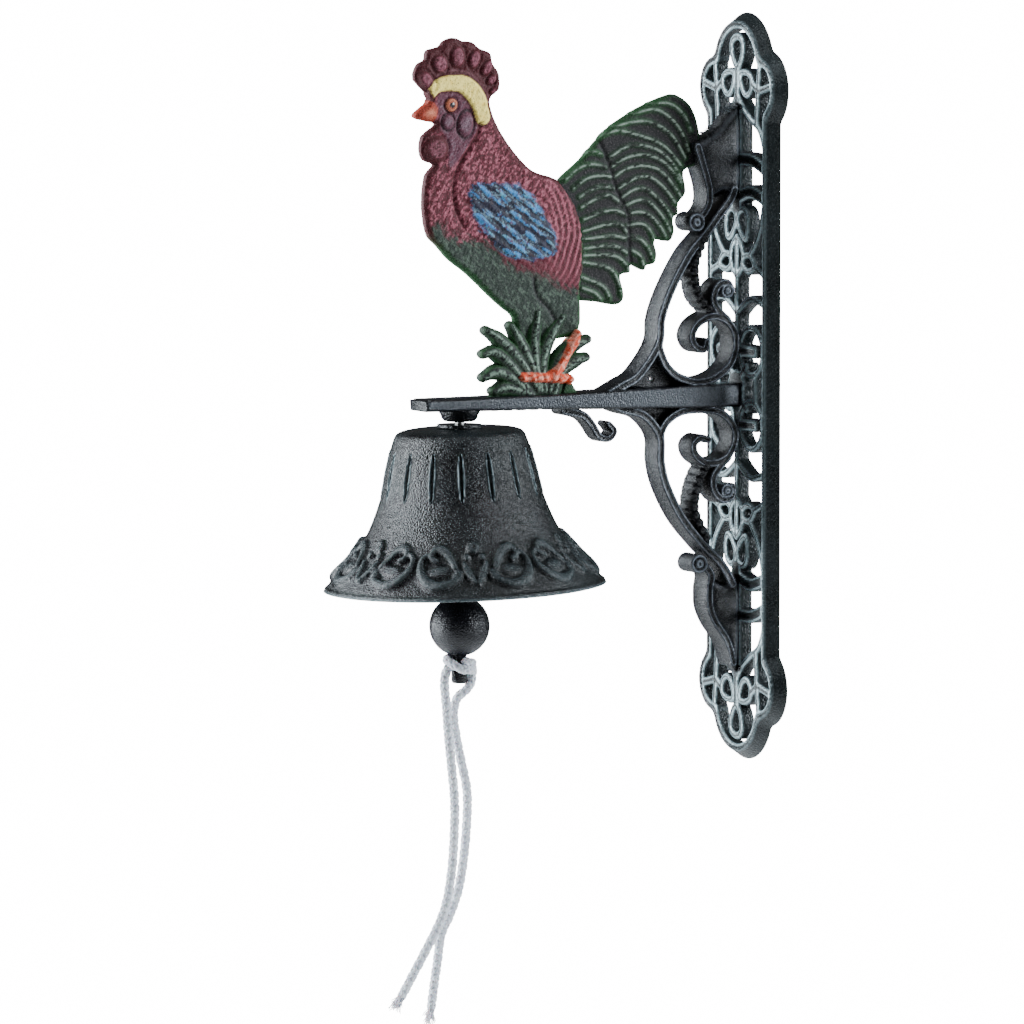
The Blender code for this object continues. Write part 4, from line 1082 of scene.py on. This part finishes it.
MAROON, PINK, DEEP_RED = (0.090, 0.006, 0.015), (0.40, 0.110, 0.150), (0.052, 0.0012, 0.0044)
GREY_GREEN, GREEN_FLECK, BELLY_RED = (0.013, 0.024, 0.016), (0.085, 0.125, 0.090), (0.13, 0.020, 0.03)
BLUE, TEAL, WING_DARK = (0.040, 0.215, 0.50), (0.10, 0.38, 0.50), (0.010, 0.003, 0.007)
PURPLE_GREY, PALE_YELLOW, GOLD = (0.095, 0.024, 0.042), (1.0, 0.80, 0.20), (0.85, 0.56, 0.09)
BLACK, WHITE, PAD_GREY = (0.004, 0.004, 0.005), (0.85, 0.85, 0.85), (0.20, 0.055, 0.080)
TAIL_DARK, TAIL_GREEN, TAIL_PALE = (0.0020, 0.0020, 0.0022), (0.006, 0.050, 0.010), (0.26, 0.33, 0.27)
LEAF_GREEN, LEAF_DARK, LEAF_PALE = (0.010, 0.060, 0.014), (0.006, 0.010, 0.008), (0.20, 0.29, 0.22)
CORAL, CORAL_PALE = (0.70, 0.075, 0.028), (0.85, 0.36, 0.26)
BEAK_RED, BEAK_LIT, IRIS = (0.26, 0.022, 0.006), (0.72, 0.22, 0.13), (0.62, 0.20, 0.11)
WING_PALE, FACE_PALE, COMB_PALE = (0.26, 0.42, 0.52), (0.22, 0.150, 0.185), (0.24, 0.10, 0.125)
CHEEK_DARK, CHEEK_PALE, LEAF_EDGE = (0.012, 0.003, 0.006), (0.18, 0.13, 0.16), (0.012, 0.025, 0.015)


def plain(p, colour):
    return np.tile(np.array(colour), (len(p), 1))


def over(colour, mask, target):
    """The colour with the target laid over it where the mask is 1."""
    mask = np.clip(mask, 0, 1)[:, None]
    return colour * (1 - mask) + np.array(target) * mask


def ridged(along, across, pitch, wobble=0.0):
    """A row of strokes: 1 on each crest, 0 between them."""
    return 0.5 + 0.5 * np.cos(2 * np.pi * (across / pitch + wobble * np.sin(along * 0.9)))


def oval(p, centre, half_u, half_v, lean):
    """0 at the oval's middle, 1 on its edge."""
    q = p - np.array(centre)
    u = q[:, 0] * np.cos(lean) - q[:, 1] * np.sin(lean)
    v = q[:, 0] * np.sin(lean) + q[:, 1] * np.cos(lean)
    return np.hypot(u / half_u, v / half_v)


def pad_share(p):
    """0 at the middle of the nearest comb pad, 1 on its edge."""
    best = np.full(len(p), 9.0)
    for centre, half_u, half_v in COMB_PADS:
        lean = math.atan2(centre[0] - COMB_CENTRE[0], centre[1] - COMB_CENTRE[1])
        best = np.minimum(best, oval(p, centre, half_u, half_v, lean))
    return best


def crescent_reach(p):
    """Distance outside the yellow band."""
    near, share = to_line(p, CRESCENT_LINE)
    halves = [half for place, half in CRESCENT]
    return near - np.interp(share, np.linspace(0, 1, len(halves)), halves)


def speckle(p, size, seed):
    """Even noise with cells of this size, from 0 to 1, the same every time."""
    q = p / size
    cell = np.floor(q)
    part = q - cell
    part = part * part * (3 - 2 * part)

    def drawn(cu, cv):
        value = np.sin(cu * 127.1 + cv * 311.7 + seed * 74.7) * 43758.5453
        return value - np.floor(value)

    a, b = drawn(cell[:, 0], cell[:, 1]), drawn(cell[:, 0] + 1, cell[:, 1])
    c, d = drawn(cell[:, 0], cell[:, 1] + 1), drawn(cell[:, 0] + 1, cell[:, 1] + 1)
    low = a + (b - a) * part[:, 0]
    return low + (c + (d - c) * part[:, 0] - low) * part[:, 1]


def turned_by(p, angle):
    return np.stack([p[:, 0] * np.cos(angle) - p[:, 1] * np.sin(angle),
                     p[:, 0] * np.sin(angle) + p[:, 1] * np.cos(angle)], 1)


def strokes(p, angle, long, thin, seed):
    """Dry brush strokes that run at this angle, from 0 to 1."""
    q = turned_by(p, -angle) / (long, thin)
    return 0.6 * speckle(q, 1.0, seed) + 0.4 * speckle(q * 2.1, 1.0, seed + 5)


def body_front(p):
    deep = -shape_field(p, BODY_LINE)
    edge = 1 - np.clip(deep / 2.2, 0, 1)
    height = 2.6 - 1.3 * edge ** 2
    height += 1.1 * ramp(crescent_reach(p), 0.4, -1.0)
    pads = pad_share(p)
    height += 0.9 * ramp(pads, 1.15, 0.7) - 0.5 * bump(pads - 1.35, 0.22)
    eye = np.hypot(*(p - EYE).T)
    height += 0.9 * ramp(eye, 3.0, 1.8) - 0.5 * bump(eye - 3.2, 0.5)
    for centre, half_u, half_v, lean in CHEEKS:
        cheek = oval(p, centre, half_u, half_v, lean)
        height += 0.7 * ramp(cheek, 1.1, 0.7) - 0.5 * bump(cheek - 1.15, 0.14)
    wattle = np.hypot(*(p - WATTLE).T)
    height += 0.9 * ramp(wattle, WATTLE_RADIUS + 0.4, WATTLE_RADIUS - 1.4) - 0.5 * bump(
        wattle - WATTLE_RADIUS - 0.9, 0.6)
    height -= 1.0 * bump(to_line(p, NECK_GROOVE)[0], 0.9)
    wing = shape_field(p, WING)
    height += 0.8 * ramp(wing, 1.5, -2.5)
    flow = turned_by(p, 0.62)
    height += 0.45 * (ridged(flow[:, 0], flow[:, 1], 3.3, 0.08) - 0.5) * ramp(wing, 6, -1)
    below_wing = ramp(p[:, 1], 30, 24)
    height -= 1.2 * below_wing
    beak = shape_field(p, np.array(BEAK))
    height += 0.4 * ramp(beak, 0.6, -1.2)
    height -= 0.6 * bump(to_line(p, THIGH_LINE)[0], 0.8)
    height += 0.5 * (strokes(p, 1.1, 2.6, 0.8, 3) - 0.5)
    return height


def paint_feathers(p, colour):
    """The neck's dry strokes and the hooked strokes of the rump."""
    lines = 0.6 * strokes(p, 1.05, 1.9, 0.6, 1) + 0.4 * speckle(p, 0.75, 41)
    colour = over(colour, ramp(lines, 0.50, 0.66) * 0.85 * (p[:, 1] > 62), PINK)
    colour = over(colour, ramp(lines, 0.46, 0.32) * 0.9, DEEP_RED)
    rump = ramp(p[:, 0], -97, -88) * ramp(p[:, 1], 40, 50)
    hooks = ridged(p[:, 1] * 0.4, np.hypot(p[:, 0] + 112, p[:, 1] - 66), 2.6, 0.12)
    colour = over(colour, rump * ramp(hooks, 0.62, 0.9) * 0.75, PINK)
    return over(colour, rump * ramp(hooks, 0.35, 0.1) * 0.6, DEEP_RED)


def paint_wing(p, colour):
    ragged = shape_field(p, WING) + 3.4 * (strokes(p, -0.62, 4.0, 1.1, 7) - 0.5)
    colour = over(colour, ramp(ragged, 0.8, -0.4), BLUE)
    colour = over(colour, ramp(ragged, 0.0, -1.0) * ramp(strokes(p, -0.62, 5.0, 1.3, 9), 0.5, 0.8)
                  * 0.8, TEAL)
    flow = turned_by(p, 0.62)
    dark = ridged(flow[:, 0], flow[:, 1], 3.3, 0.08)
    cuts = strokes(p, -0.62, 5.2, 1.0, 12)
    colour = over(colour, ramp(ragged, 0.6, -0.6) * ramp(strokes(p, -0.9, 2.2, 0.9, 14), 0.60, 0.72)
                  * 0.8, MAROON)
    colour = over(colour, ramp(ragged, 1.0, -0.6) * ramp(cuts + 0.25 * (1 - dark), 0.47, 0.56)
                  * 0.95, WING_DARK)
    return over(colour, ramp(ragged, 0.6, -0.6) * bump(cuts - 0.46, 0.035) * 0.5, WING_PALE)


def paint_belly(p, colour):
    belly = shape_field(p, np.array(BELLY)) + 7.0 * (strokes(p, -0.8, 2.4, 1.0, 4) - 0.5)
    colour = over(colour, ramp(belly, 2.4, -2.0), GREY_GREEN)
    colour = over(colour, ramp(belly, 0, -1) * ramp(strokes(p, -0.8, 1.6, 0.6, 15), 0.52, 0.74)
                  * 0.6, GREEN_FLECK)
    patch = bump(oval(p, (-90.0, 50.0), 9.0, 3.4, 0.2), 1.0) * speckle(p, 1.2, 8)
    colour = over(colour, patch * 1.2, BELLY_RED)
    return over(colour, 0.9 * bump(to_line(p, THIGH_LINE)[0], 0.7), BLACK)


def paint_face(p, colour):
    face = shape_field(p, FACE_PATCH)
    colour = over(colour, ramp(face, 0.6, -0.6), PURPLE_GREY)
    fine = strokes(p, 0.9, 1.2, 0.5, 21)
    colour = over(colour, ramp(face, 0.4, -0.6) * ramp(fine, 0.55, 0.75) * 0.5, FACE_PALE)
    for centre, half_u, half_v, lean in CHEEKS:
        cheek = oval(p, centre, half_u, half_v, lean)
        colour = over(colour, 0.85 * bump(cheek - 1.12, 0.14), CHEEK_DARK)
        colour = over(colour, 0.35 * ramp(cheek, 0.9, 0.3), CHEEK_PALE)
    return colour


def paint_comb(p, colour):
    """The comb's pads and the yellow band under it."""
    grey = over(plain(p, PAD_GREY), ramp(speckle(p, 0.55, 19), 0.5, 0.75) * 0.75, DEEP_RED)
    colour = over(colour, ramp(pad_share(p), 1.02, 0.85), grey)
    colour = over(colour, 0.6 * bump(to_line(p, COMB_ARC)[0], 0.4) * speckle(p, 1.1, 23), COMB_PALE)
    crescent = crescent_reach(p)
    gilt = over(plain(p, PALE_YELLOW), ramp(strokes(p, 0.4, 2.4, 1.2, 30), 0.55, 0.85) * 0.6, GOLD)
    colour = over(colour, ramp(crescent, 0.15, -0.2), gilt)
    return over(colour, 0.9 * bump(crescent - 0.55, 0.45), DEEP_RED)


def paint_eye_and_wattle(p, colour):
    eye = np.hypot(*(p - EYE).T)
    colour = over(colour, ramp(eye, 3.6, 3.0), DEEP_RED)
    colour = over(colour, ramp(eye, 2.7, 2.3), IRIS)
    colour = over(colour, 0.8 * bump(eye - 1.5, 0.35), BEAK_RED)
    colour = over(colour, ramp(eye, 1.3, 1.0), BLACK)
    glint = np.hypot(*(p - EYE - (0.45, 0.45)).T)
    colour = over(colour, ramp(glint, 0.5, 0.3), WHITE)
    wattle = np.hypot(*(p - WATTLE).T)
    colour = over(colour, ramp(wattle, 6.0, 5.3), DEEP_RED)
    return over(colour, ramp(wattle, 4.4, 3.2) * ramp(speckle(p, 0.6, 17), 0.25, 0.6) * 0.8,
                PAD_GREY)


def paint_edge_and_beak(p, colour):
    """A red rim that turns green low down, and the orange beak."""
    deep = -shape_field(p, BODY_LINE)
    edge_colour = over(plain(p, DEEP_RED), ramp(p[:, 1], 68, 58), LEAF_GREEN)
    rim = ramp(deep + 1.2 * (speckle(p, 1.3, 33) - 0.5), 2.0, 0.8)
    colour = over(colour, rim, edge_colour)
    beak = shape_field(p, np.array(BEAK))
    colour = over(colour, ramp(beak, 0.3, -0.1), BEAK_RED)
    lit = bump(oval(p, (-145.4, 114.2), 2.6, 2.2, -0.4), 0.8) * (0.5 + 0.7 * speckle(p, 0.8, 29))
    return over(colour, lit * ramp(beak, 0.0, -0.4), BEAK_LIT)


def body_paint(p):
    colour = paint_belly(p, paint_wing(p, paint_feathers(p, plain(p, MAROON))))
    away = np.hypot(*(p - COMB_CENTRE).T)
    colour = over(colour, ramp(away, COMB_REACH - 1, COMB_REACH) * ramp(p[:, 1], 116, 118), DEEP_RED)
    colour = paint_eye_and_wattle(p, paint_comb(p, paint_face(p, colour)))
    colour = over(colour, 0.85 * bump(to_line(p, NECK_GROOVE)[0], 0.7), DEEP_RED)
    return paint_edge_and_beak(p, colour)


def ridge_share(p):
    """Distance from the nearest tail ridge."""
    best = np.full(len(p), 99.0)
    for line in RIDGE_LINES:
        best = np.minimum(best, to_line(p, line)[0])
    return best


def tail_front(p):
    deep = -shape_field(p, TAIL_LINE)
    edge = 1 - np.clip(deep / 1.8, 0, 1)
    near = ridge_share(p)
    split = bump(to_line(p, SPLIT)[0], 0.8)
    return 2.1 - 0.9 * edge ** 2 + 0.9 * bump(near, 0.85) - 0.5 * split


def tail_paint(p):
    deep = -shape_field(p, TAIL_LINE)
    near = ridge_share(p)
    colour = plain(p, TAIL_DARK)
    green = (0.22 + 0.78 * ramp(deep, 9.0, 2.0)) * (0.35 + 0.8 * speckle(p, 1.3, 2))
    colour = over(colour, green * ramp(near, 2.4, 0.6), TAIL_GREEN)
    broken = ramp(strokes(p, 0.2, 2.4, 0.8, 6), 0.30, 0.55)
    colour = over(colour, bump(near, 0.46) * broken * 0.85, TAIL_PALE)
    colour = over(colour, bump(near - 0.9, 0.35) * 0.35 * speckle(p, 0.8, 9), TAIL_GREEN)
    colour = over(colour, 0.85 * bump(to_line(p, SPLIT)[0] - 0.3, 0.5), BLACK)
    return over(colour, 0.8 * ramp(deep, 1.6, 0.5), TAIL_GREEN)


LEAVES = [smooth_line(route, 8) for route in GRASS_LEAVES]
BODY_LINE, TAIL_LINE = smooth_line(BODY, 3, closed=True), smooth_line(TAIL, 3, closed=True)
LEG_LINES = [smooth_line(route, 8) for route in LEGS]


def leaf_reach(p):
    """(field, place across the nearest leaf from 0 at its rib to 1 at its edge)."""
    field, across = np.full(len(p), 99.0), np.ones(len(p))
    for line in LEAVES:
        near, share = to_line(p, line)
        half = LEAF_HALF * (0.62 + 0.38 * ramp(share, 0.0, 0.25))
        taken = near - half < field
        field = np.minimum(field, near - half)
        across[taken] = (near / half)[taken]
    return field, across


def leg_reach(p):
    near = np.minimum(*(to_line(p, line)[0] for line in LEG_LINES))
    return near - LEG_HALF


def grass_field(p):
    field = np.minimum(leaf_reach(p)[0], shape_field(p, np.array(GRASS_MOUND)))
    return np.minimum(field, leg_reach(p))


def grass_front(p):
    field, across = leaf_reach(p)
    deep = -grass_field(p)
    height = 3.0 - 1.4 * (1 - np.clip(deep / 1.6, 0, 1)) ** 2
    height += 0.9 * bump(across, 0.28) * (field < 0) - 0.9 * bump(across - 1.0, 0.16) * (field < 0.5)
    return height + 1.9 * ramp(leg_reach(p), 0.2, -1.2)


def grass_paint(p):
    field, across = leaf_reach(p)
    colour = plain(p, LEAF_DARK)
    colour = over(colour, ramp(across, 0.35, 0.8) * (0.4 + 0.7 * speckle(p, 1.2, 5)), LEAF_GREEN)
    colour = over(colour, bump(across - 0.12, 0.2) * ramp(speckle(p, 0.7, 3), 0.25, 0.6)
                  * (field < 0) * 0.9, LEAF_PALE)
    colour = over(colour, 0.7 * bump(across - 1.0, 0.1), LEAF_EDGE)
    coral = over(plain(p, CORAL), ramp(speckle(p, 0.8, 41), 0.45, 0.75) * 0.8, CORAL_PALE)
    return over(colour, ramp(leg_reach(p), 0.1, -0.3), coral)


def make_rooster():
    """Body, tail and grass: (name, field, low and high corner, cell, front, paint, node, slot)."""
    for name, field, low, high, cell, front, paint, node, slot in (
            ("rooster_relief", lambda p: shape_field(p, BODY_LINE), (-155.5, 21.0),
             (-74.0, 146.0), 0.45, body_front, body_paint, "rooster_body", "rooster_paint"),
            ("tail_relief", lambda p: shape_field(p, TAIL_LINE), (-90.5, 33.0),
             (-21.0, 122.0), 0.45, tail_front, tail_paint, "rooster_tail", "tail_paint"),
            ("grass_relief", grass_field, (-127.5, -4.0),
             (-69.0, 33.5), 0.42, grass_front, grass_paint, "grass_base", "grass_paint")):
        made = relief(name, field, low, high, cell, front, lambda p, f=front: -f(p), lay_side,
                      paint=paint)
        dress(made, ROOSTER_PAINT, "frame", [node])


make_rooster()

# --------------------------------------------------------------------------- bell

BELL_OUTER = [(2.4, 0.0), (12.0, 0.05), (20.0, 0.5), (24.4, 1.3), (26.2, 2.9), (27.4, 6.0),
              (28.6, 10.0), (30.7, 18.6), (32.5, 26.6), (35.4, 34.6), (38.4, 41.2),
              (41.8, 46.6), (46.2, 52.0), (50.6, 56.4), (54.4, 60.8), (56.9, 64.0)]
BELL_INNER = [(55.2, 64.4), (51.4, 60.6), (47.6, 57.6), (43.4, 53.6), (39.4, 48.4),
              (35.8, 42.6), (32.8, 35.8), (29.9, 27.4), (27.9, 19.0), (25.8, 10.6),
              (24.0, 6.0), (20.0, 4.4), (2.4, 3.7)]
BELL_AROUND = 480
BELL_LEAN = math.radians(2.2)
FLUTES, FLUTE_TURN = 16, math.radians(-26.4)
MOTIFS, MOTIF_TURN = 6, math.radians(-21.0)


def motif_height(u, v):
    """The relief band, u across from a flower's middle and v down the bell, in millimetres."""
    p = np.stack([np.abs(u), v], 1)
    height = np.zeros(len(p))
    for centre, half_u, half_v, lean, rise in (
            ((0.0, 44.8), 3.2, 2.8, 0.0, 1.7), ((3.1, 48.4), 1.9, 1.9, 0.0, 1.5),
            ((6.6, 55.2), 2.3, 3.4, 0.5, 1.6), ((13.4, 53.4), 6.2, 2.5, -0.12, 1.4)):
        height = np.maximum(height, rise * np.sqrt(np.clip(
            1 - oval(p, centre, half_u, half_v, lean) ** 2, 0, 1)))
    for route, half, rise in (
            ([(4.4, 50.6), (2.6, 54.2), (0.6, 57.6)], 1.7, 1.6),
            ([(7.6, 52.2), (9.4, 49.0), (12.4, 45.8), (16.0, 45.2), (17.6, 48.0), (15.2, 49.6)],
             2.1, 1.8),
            ([(7.6, 57.0), (12.6, 58.6), (17.2, 57.2), (20.6, 53.4), (21.2, 49.2), (19.2, 47.4)],
             2.1, 1.8)):
        near, share = to_line(p, smooth_line(route, 6))
        thick = half * (0.62 + 0.38 * np.sin(np.pi * np.clip(share * 1.1, 0, 1)))
        height = np.maximum(height, rise * np.sqrt(np.clip(1 - (near / thick) ** 2, 0, 1)))
    return height - 0.8 * bump(np.hypot(p[:, 0], p[:, 1] - 44.6), 1.0)


def bell_relief(turn, depth, radius):
    """How far the outside stands out, and how rubbed it is, with painted highlight along the flute edges
    and the lip.
    """
    step = 2 * np.pi / FLUTES
    off = (turn - FLUTE_TURN + step / 2) % step - step / 2
    across = off * radius
    long = np.clip((depth - 17.6) / 10.0, -1, 1)
    half = 0.95 * np.sqrt(np.clip(1 - long ** 2, 0, 1)) + 1e-6
    q = across / half
    flute = -0.9 * bump(q, 0.62) + 0.45 * bump(np.abs(q) - 1.15, 0.30)
    flute *= (half > 0.25)
    step = 2 * np.pi / MOTIFS
    off = (turn - MOTIF_TURN + step / 2) % step - step / 2
    motif = motif_height(off * 44.0, depth)
    ring = 0.35 * bump(depth - 62.9, 0.55) - 0.3 * bump(depth - 61.8, 0.35)
    # Bright flute edges, motif and lip: rubbed iron and painted highlight.
    wear_and_highlight = 0.45 * bump(np.abs(q) - 1.15, 0.25) * (half > 0.25) + 0.05 * ramp(motif, 0.9, 1.5)
    wear_and_highlight += 0.25 * ramp(depth, 63.3, 63.7)
    return flute + motif * 1.15 + ring, np.clip(wear_and_highlight, 0, 1)


def make_bell():
    outer = even_line(smooth_line(BELL_OUTER, 12), 150)
    inner = even_line(smooth_line(BELL_INNER, 8), 34)
    turn = np.arange(BELL_AROUND) * 2 * np.pi / BELL_AROUND
    grid_turn, grid_row = np.meshgrid(turn, np.arange(len(outer)))
    radius, depth = outer[grid_row.ravel(), 0], outer[grid_row.ravel(), 1]
    rise, wear_and_highlight = bell_relief(grid_turn.ravel(), depth, radius)
    slope = np.gradient(outer, axis=0)
    out = np.stack([slope[:, 1], -slope[:, 0]], 1)
    out /= np.linalg.norm(out, axis=1, keepdims=True)
    out = out[grid_row.ravel()]
    radius, depth = radius + rise * out[:, 0], depth + rise * out[:, 1]
    inside_turn, inside_row = np.meshgrid(turn, np.arange(len(inner)))
    radius = np.concatenate([radius, inner[inside_row.ravel(), 0]])
    depth = np.concatenate([depth, inner[inside_row.ravel(), 1]])
    turns = np.concatenate([grid_turn.ravel(), inside_turn.ravel()])
    wear_and_highlight = np.concatenate([wear_and_highlight, np.zeros(inside_turn.size)])
    points = np.stack([radius * np.cos(turns), BELL_Y + radius * np.sin(turns),
                       BELL_TOP - depth], 1)
    # The real bell hangs a little out of plumb, with its rim higher towards the wall.
    lean_y, lean_z = points[:, 1] - BELL_Y, points[:, 2] - BELL_TOP
    points[:, 1] = BELL_Y + lean_y * math.cos(BELL_LEAN) - lean_z * math.sin(BELL_LEAN)
    points[:, 2] = BELL_TOP + lean_y * math.sin(BELL_LEAN) + lean_z * math.cos(BELL_LEAN)
    faces = ring_faces(len(outer) + len(inner), BELL_AROUND, True)
    bell = add_mesh("bell_shell", points, faces, 60.0, floats={"wear_and_highlight": wear_and_highlight})
    dress(bell, BELL_IRON, "bell", ["bell"])


make_bell()

# --------------------------------------------------------------------------- clapper and hanger

SOCKET = 2.0


def make_clapper_ball():
    profile = [(SOCKET, BALL_HIGH[2] - 0.2), (SOCKET + 0.6, BALL_HIGH[2])]
    for turn in np.radians(np.linspace(76, -76, 64)):
        profile.append((BALL_RADIUS * math.cos(turn), BALL_Z + BALL_RADIUS * math.sin(turn)))
    neck = BALL_Z - BALL_RADIUS
    profile += [(2.75, neck - 0.1), (2.65, neck - 0.9), (2.6, HITCH_Z - 2.2),
                (3.2, HITCH_Z - 2.9), (3.3, HITCH_Z - 3.6), (3.3, NUB_END + 1.0),
                (3.0, NUB_END + 0.3), (2.4, NUB_END)]
    profile = [(SOCKET, BALL_HIGH[2] - 7.2)] + profile
    profile = [(0, profile[0][1])] + profile + [(0, NUB_END)]
    ball = turned("ball", profile, 120)
    for vertex in ball.data.vertices:
        x, y, z = vertex.co / MM
        if abs(x) > 0.05 * BALL_RADIUS:
            continue
        seam = 0.22 * math.exp(-(x / 0.45) ** 2) * (z > NUB_END + 1) * (abs(y - BELL_Y) > 3)
        vertex.co.y += math.copysign(seam, y - BELL_Y) * MM
    dress(ball, BALL_IRON, "clapper", ["clapper_ball"])


def finish_cad_nodes():
    """The small turned and bent parts keep their CAD shape and take a finish of their own."""
    for node, finish in (("hanger_eye_bolt", STEEL), ("crown_washer", BRACKET_IRON),
                         ("inner_washer", STEEL), ("hanger_nut", STEEL), ("clapper_link", STEEL),
                         ("clapper_rod", STEEL), ("upper_bracket_screw", STEEL),
                         ("lower_bracket_screw", STEEL)):
        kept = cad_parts[node]
        kept.data.materials.clear()
        kept.data.materials.append(finish)


make_clapper_ball()
finish_cad_nodes()

# --------------------------------------------------------------------------- stage and light


FLOOR_HALF, FLOOR_Z = 1.3, -0.62
LIGHT_AWAY, LIGHT_COLOUR = 1.2, (0.88, 0.95, 1.0)
BACK_SEEN, BACK_LIGHT = 16.0, 0.07
# Each lamp's bearing and rise in degrees, its sides in metres and its power.
LAMPS = {"key": (-35.0, 10.0, (0.8, 1.4), 72.0), "side": (145.0, 14.0, (0.40, 1.0), 32.0),
         "top": (70.0, 66.0, (0.9, 0.9), 8.0)}


def add_stage():
    """A plain pale floor, well below a bell that hangs on a wall."""
    half = FLOOR_HALF
    corners = [(-half, -half), (half, -half), (half, half), (-half, half)]
    floor = add_mesh("floor", np.array([(x, y, FLOOR_Z) for x, y in corners]) / MM,
                     [(0, 1, 2, 3)], None)
    pale = Finish("pale_floor")
    pale.set(Base_Color=(0.86, 0.86, 0.86, 1.0), Roughness=0.7)
    floor.data.materials.append(pale.material)


def add_light(name, azimuth, elevation, size, power):
    """A soft area light that faces the bell, at this bearing from it."""
    data = bpy.data.lights.new(name, "AREA")
    data.shape, data.size, data.size_y, data.energy = "RECTANGLE", size[0], size[1], power
    data.color = LIGHT_COLOUR
    lamp = bpy.data.objects.new(name, data)
    bpy.context.scene.collection.objects.link(lamp)
    out = bearing(math.radians(azimuth), math.radians(elevation))
    lamp.location = Vector((0.0, -0.08, 0.0)) + out * LIGHT_AWAY
    lamp.rotation_euler = (-out).to_track_quat("-Z", "Y").to_euler()


def add_world():
    """White behind the object, softer light from all round it."""
    world = bpy.data.worlds.new("studio")
    bpy.context.scene.world = world
    world.use_nodes = True
    tree = world.node_tree
    back = tree.nodes["Background"]
    back.inputs["Color"].default_value = (1.0, 1.0, 1.0, 1.0)
    path = tree.nodes.new("ShaderNodeLightPath")
    seen = Wire(tree, path.outputs["Is Camera Ray"])
    plug(tree, seen * BACK_SEEN + BACK_LIGHT, back.inputs["Strength"])


add_stage()
add_world()
for lamp_name, lamp_values in LAMPS.items():
    add_light(lamp_name, *lamp_values)
